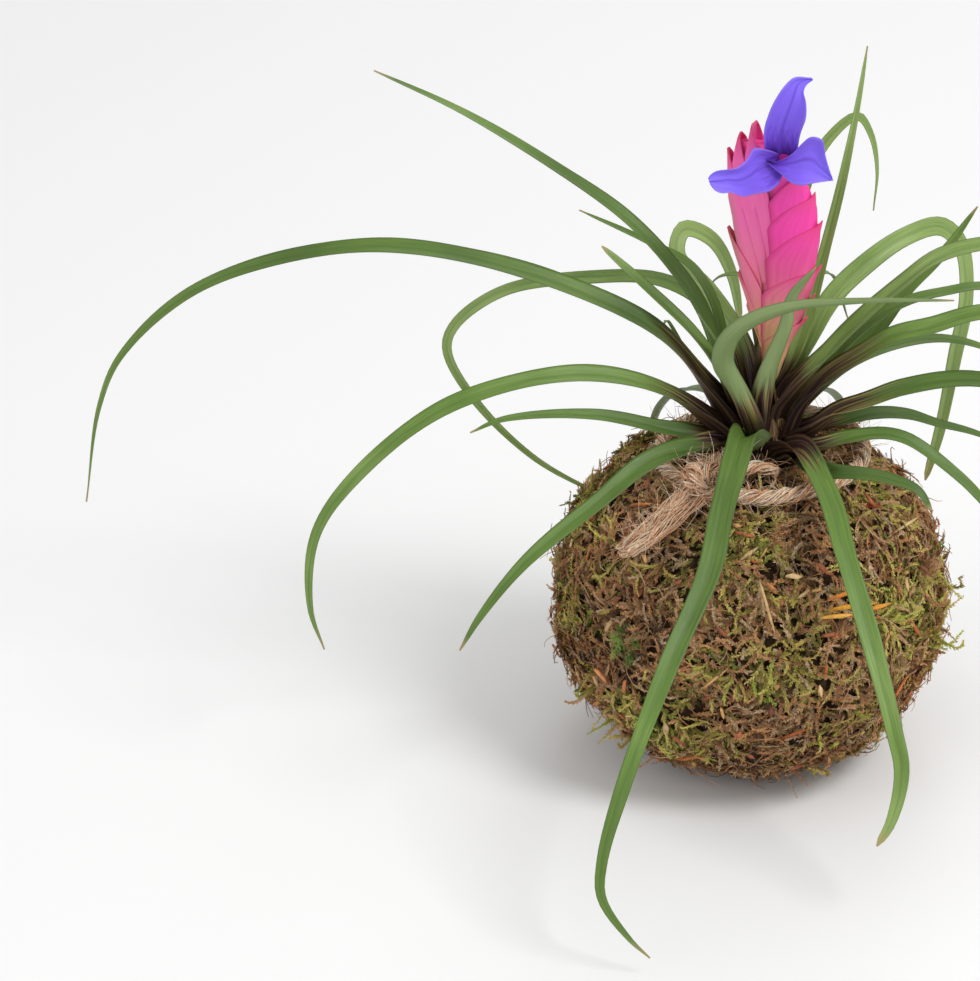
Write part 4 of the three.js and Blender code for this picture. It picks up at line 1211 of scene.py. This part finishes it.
def add_loose_sprigs(shell, made):
    """The few long sprigs that stand out of the ball."""
    count = LOOSE_EACH
    share = np.linspace(0, 1, LOOSE_STEPS)[None, :, None]
    for root, direction, length in LOOSE_SPRIGS:
        spread = made.normal(0, LOOSE_SCATTER, (count, 3)) * LOOSE_SPREAD
        roots = seated(np.array(root, float) + spread)
        direction = unit(np.array(direction, float) + made.normal(0, LOOSE_LEAN, (count, 3)))
        size = length * made.uniform(*LOOSE_LENGTHS, (count, 1, 1))
        sway = made.normal(0, LOOSE_SWAY, (count, 1, 3))
        sway = sway * np.sin(share * made.uniform(*LOOSE_BENDS, (count, 1, 1)))
        path = roots[:, None] + (direction[:, None] * share + sway) * size
        tint = picked(LOOSE_TINTS, made, count)
        add_stems(shell, path, unit(np.cross(direction, LOOSE_FACING)), tint, made, LOOSE)


def make_moss_base():
    """The matted ball under the sprigs, dark brown partly as its own colour and partly as painted shade in
    the gaps between them, with a flat spot to rest on.
    """
    rows, columns = MATTING_GRID
    radius, z = ball_profile(rows, MATTING_INSET)
    z = np.maximum(z - smooth((z - MATTING_SINK_Z) / 20), 0.0)
    floor = np.linspace([0.5, 0.0], [radius[0], 0.0], FLOOR_RINGS, endpoint=False)
    neck = np.linspace([radius[-1], z[-1]], [0.5, z[-1]], NECK_RINGS + 1)[1:]
    profile = np.concatenate([floor, np.stack([radius, z], 1), neck])
    points = (profile[:, None, :1] * spokes(turns(columns)) + profile[:, None, 1:] * UP).reshape(-1, 3)
    height = points[:, 2]
    fade = smooth(height / 10) * smooth((MATTING_TOP_Z - height) / 12)
    bumps = layered(points, MATTING_FIELDS) * fade
    points = points + unit(points * [1, 1, 0]) * bumps[:, None] + ball_shift(height)
    # Partly painted shade: the dark matting shows only in the gaps between sprigs
    shade = linear(MATTING_BROWN_AND_SHADE) * (1.0 + 0.5 * waves(points, *MATTING_SHADE_FIELD))[:, None]
    shell = Shell()
    shell.add(points, grid_triangles(len(profile), columns, True), Tint=shade)
    material = tinted_material("moss_matting", *MATTING_FINISH)
    shell.build("moss_matting", material, "moss", "moss_skin")


def make_moss():
    make_moss_base()
    material = tinted_material("moss_sprigs", *SPRIG_FINISH)
    for part in range(MOSS_PIECES):
        made = np.random.default_rng(SPRIG_SEED + part)
        shell = Shell()
        add_sprigs(shell, MOSS_SPRIGS // MOSS_PIECES, made, CREEPING)
        add_sprigs(shell, MOSS_TUFTS // MOSS_PIECES, made, LIFTED)
        if part == 0:
            add_loose_sprigs(shell, made)
        shell.build(f"moss_sprigs_{part + 1}", material, "moss")
    dead = Shell()
    made = np.random.default_rng(DEAD_STEM_SEED)
    add_sprigs(dead, DEAD_STEM_COUNT, made, WIRY, DEAD_STEMS)
    dead.build("moss_dead_stems", material, "moss")
    make_chips()
    make_star_moss()


def make_chips():
    """Splinters of bark caught in the moss: many small ones, and the few long ones."""
    made = np.random.default_rng(CHIP_SEED)
    places, outward, upward, sideways = ball_surface(CHIP_COUNT, made)

    def between(low, high, count=CHIP_COUNT):
        return made.uniform(low, high, (count, 1))

    heading = between(0, TAU)
    along = upward * np.cos(heading) + sideways * np.sin(heading)
    along = along + outward * between(*CHIP_TILTS)
    length = between(*CHIP_LENGTHS)
    width = between(*CHIP_WIDTHS)
    tint = picked(CHIP_COLOURS, made, CHIP_COUNT) * between(*CHIP_SHADES)
    small = (outward, places + outward * between(*CHIP_RISES), along, length, width, tint)
    centre, along, length, width, colour = (np.array(column, float) for column in zip(*SPLINTERS))
    large = (unit(centre - UP * BALL_WAIST_Z), centre, along, length[:, None] / 2, width[:, None] / 2)
    rows = [np.concatenate(pair) for pair in zip(small, (*large, linear(colour)))]
    clear = np.hypot(*rows[1][:, :2].T) > CHIP_CLEARANCE
    outward, centre, along, length, width, tint = (row[clear] for row in rows)
    along = unit(along)
    side = unit(np.cross(outward, along))
    lift = np.cross(along, side)
    corners = []
    for thick in (CHIP_THICKNESS, -CHIP_THICKNESS):
        for a, b, c in CHIP_OUTLINE:
            jitter = between(*CHIP_JITTER, len(centre))
            rim = centre + along * length * a * jitter + side * width * b * jitter
            corners.append(rim + lift * (thick + CHIP_WARP * c))
    points = np.stack(corners, 1)
    points[..., 2] = np.maximum(points[..., 2], LOWEST_SPRIG)
    count = len(CHIP_OUTLINE)
    faces = CHIP_FACES + [(a + count, c + count, b + count) for a, b, c in CHIP_FACES]
    for k in range(count):
        following = (k + 1) % count
        faces += [(k, following, count + following), (k, count + following, count + k)]
    triangles = repeated(np.array(faces), len(centre), 2 * count)
    shell = Shell()
    shell.add(points.reshape(-1, 3), triangles, Tint=np.repeat(tint, 2 * count, 0))
    shell.build("bark_splinters", tinted_material("bark_wood", *BARK_FINISH), "moss")


def make_star_moss():
    """A few fresh tufts whose needles stand out like stars."""
    made = np.random.default_rng(STAR_SEED)
    shell = Shell()
    climb = np.linspace(0.2, 1.0, STAR_NEEDLES)[:, None]
    radii = np.tile(NEEDLE_RADII, (STAR_NEEDLES, 1))
    for x, y, z in STAR_TUFTS:
        outward = unit(np.array([x, y, (z - BALL_WAIST_Z) * 0.7]))
        for _ in range(STAR_STEMS):
            lean = unit(outward + made.normal(0, STAR_LEAN, 3))
            foot = np.array([x, y, z]) + made.normal(0, STAR_SCATTER, 3)
            base = foot + lean * climb * STAR_STEM_LENGTH
            spread = unit(made.normal(size=(STAR_NEEDLES, 3)))
            spread = unit(spread - lean * (spread @ lean)[:, None] * 0.7 + lean * 0.7)
            tip = base + spread * (NEEDLE_LENGTH - NEEDLE_SHORTENING * climb)
            paths = np.stack([base, base * 0.5 + tip * 0.5 + lean * 0.2, tip], 1)
            shell.add(*strands(paths, radii), Tint=linear(STAR_GREEN) * made.uniform(0.6, 1.3))
    shell.build("star_moss_tufts", tinted_material("star_moss", *STAR_FINISH), "moss")


# Twine


def add_fibres(shell, paths, radii, made):
    points, triangles = strands(paths, radii)
    count = len(paths)
    tint = picked(JUTE_COLOURS, made, count) * made.uniform(0.8, 1.15, (count, 1))
    shell.add(points, triangles, Tint=np.repeat(tint, len(points) // count, 0))


def add_rope(shell, line, made, count, points_each, pitch, ply_reach, ply_radius, squash=1.0):
    """Fibres that run with a rope: plies wound round the line, each fibre wandering in its ply."""
    centre, distance = evenly(line, points_each)
    along = unit(np.gradient(centre, axis=0))
    side = unit(np.cross(along, UP))
    up = np.cross(side, along)
    paths = []
    for k in range(count):
        turn = TAU * (k % PLIES) / PLIES + TAU * distance / pitch
        drift = made.uniform(0, TAU) + TAU * distance / (pitch * made.uniform(1.2, 2.5))
        reach = ply_radius * math.sqrt(made.uniform(0.05, 1.0))
        sway = 0.18 * np.sin(distance * made.uniform(0.4, 1.1) + made.uniform(0, 6))
        a = ply_reach * np.cos(turn) + reach * np.cos(drift) + sway
        b = (ply_reach * np.sin(turn) + reach * np.sin(drift)) * squash + sway
        paths.append(centre + side * a[:, None] + up * b[:, None])
    radii = made.uniform(*FIBRE_RADII, (count, 1)) * np.ones((1, points_each))
    add_fibres(shell, np.array(paths), radii, made)


def add_fuzz(shell, line, made, count, reach=FUZZ_REACH):
    """Loose fibres that leave the rope and curl away."""
    centre, _ = evenly(line, FUZZ_PLACES)
    along = unit(np.gradient(centre, axis=0))
    at = made.integers(0, len(centre), count)
    direction = unit(made.normal(size=(count, 3)) * 0.8 + along[at] * made.choice([-1.0, 1.0], (count, 1)))
    out = unit(direction - along[at] * (direction * along[at]).sum(1)[:, None])
    path = [centre[at] + out * reach * made.uniform(0.3, 1.0, (count, 1))]
    size = made.uniform(*FUZZ_LENGTH, (count, 1)) / FUZZ_STEPS
    turn = made.normal(0, 0.35, (count, 3))
    for _ in range(FUZZ_STEPS - 1):
        direction = unit(direction + turn + made.normal(0, 0.12, (count, 3)))
        path.append(path[-1] + direction * size)
    radii = np.linspace(*FUZZ_RADII, FUZZ_STEPS)[None] * np.ones((count, 1))
    add_fibres(shell, np.stack(path, 1), radii, made)


def collar_line():
    turn = np.linspace(0, TAU, COLLAR_STEPS)
    ring = COLLAR_RADIUS * spokes(turn)
    tilt = math.tan(math.radians(-COLLAR_TILT_DEG))
    ring[:, 2] = COLLAR_Z + tilt * ring[:, 0] + 0.3 * np.sin(5 * turn)
    return ring


def knot_loops():
    """Closed turns of rope that make up the knot."""
    turn = np.linspace(0, TAU, KNOT_STEPS)[:, None]
    loops = []
    for axis, radius, shift in KNOT_TURNS:
        axis = unit(np.array(axis, float))
        first = unit(np.cross(axis, UP))
        second = np.cross(axis, first)
        centre = np.array(KNOT_CENTRE, float) + np.array(shift, float)
        loops.append(centre + radius * (first * np.cos(turn) + KNOT_FLATNESS * second * np.sin(turn)))
    return loops


def make_twine():
    made = np.random.default_rng(TWINE_SEED)
    material = tinted_material("jute_fibres", *JUTE_FINISH)
    tie = Shell()
    collar = collar_line()
    add_rope(tie, collar, made, *COLLAR_ROPE)
    for loop in knot_loops():
        add_rope(tie, loop, made, *KNOT_ROPE)
    for end in (UPPER_END, SHORT_END):
        add_rope(tie, curve_points(end), made, *END_ROPE)
        add_fuzz(tie, curve_points(end), made, END_FUZZ)
    add_fuzz(tie, collar, made, COLLAR_FUZZ)
    for loop in knot_loops():
        add_fuzz(tie, loop, made, KNOT_FUZZ)
    tie.build("twine_tie_fibres", material, "twine", "twine_tie")
    tail = Shell()
    centre, _ = evenly(curve_points(TAIL_LINE), TAIL_STEPS)
    along = unit(np.gradient(centre, axis=0))
    up = unit(centre - UP * BALL_WAIST_Z)
    side = unit(np.cross(along, up))
    share = np.linspace(0, 1, TAIL_STEPS)[:, None]
    for sign in (1.0, -1.0):
        lane = centre + side * sign * TAIL_LANE * (1 - TAIL_CLOSING * share**3) + up * 0.2 * sign
        add_rope(tail, lane, made, *TAIL_ROPE)
    bend = centre[-1] + side[-1] * np.linspace(1.0, -1.0, BEND_STEPS)[:, None]
    bend = bend + along[-1] * BEND_REACH * np.cos(np.linspace(-1.5, 1.5, BEND_STEPS))[:, None]
    add_rope(tail, bend, made, *BEND_ROPE)
    add_fuzz(tail, centre, made, *TAIL_FUZZ)
    tail.build("twine_tail_fibres", material, "twine", "twine_tail")


# Scene


def make_studio():
    scene = bpy.context.scene
    scene.view_settings.view_transform = "Standard"
    scene.world = bpy.data.worlds.new("studio")
    scene.world.use_nodes = True
    background = scene.world.node_tree.nodes["Background"].inputs
    background["Color"].default_value = (1.0, 1.0, 1.0, 1.0)
    background["Strength"].default_value = WORLD_STRENGTH
    mesh = bpy.data.meshes.new("studio_floor")
    corners = [(x * FLOOR_REACH, y * FLOOR_REACH, 0) for x, y in ((-1, -1), (1, -1), (1, 1), (-1, 1))]
    mesh.from_pydata(corners, [], [(0, 1, 2, 3)])
    mesh.materials.append(Nodes("pale_floor").finish(FLOOR_TONE, 0.7, specular=0.1))
    floor = linked("studio_floor", mesh)
    for name, place, aim, size, power in LIGHTS:
        light = bpy.data.lights.new(name, "AREA")
        light.shape = "DISK"
        light.size = size
        light.energy = power
        lamp = linked(name, light)
        lamp.location = place
        lamp.rotation_euler = (Vector(aim) - Vector(place)).to_track_quat("-Z", "Y").to_euler()


def make_camera():
    data = bpy.data.cameras.new("camera")
    data.sensor_width = SENSOR_WIDTH
    data.lens = CAMERA_FOCAL_PX * SENSOR_WIDTH / PHOTO_HEIGHT_PX
    camera = linked("camera", data)
    camera.location = CAMERA_PLACE
    camera.rotation_euler = (math.radians(90 - CAMERA_ELEVATION_DEG), 0.0, 0.0)
    bpy.context.scene.camera = camera


def main():
    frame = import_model()
    make_camera()
    make_studio()
    soil = frame["nodes"]["soil_ball"].data.materials
    soil.clear()
    soil.append(soil_material())
    blades = leaf_material()
    for leaf in LEAVES:
        make_leaf(blades, *leaf)
    make_crown()
    make_spike()
    petals = petal_material()
    for petal in PETALS:
        make_petal(petals, *petal)
    make_twine()
    make_moss()


main()
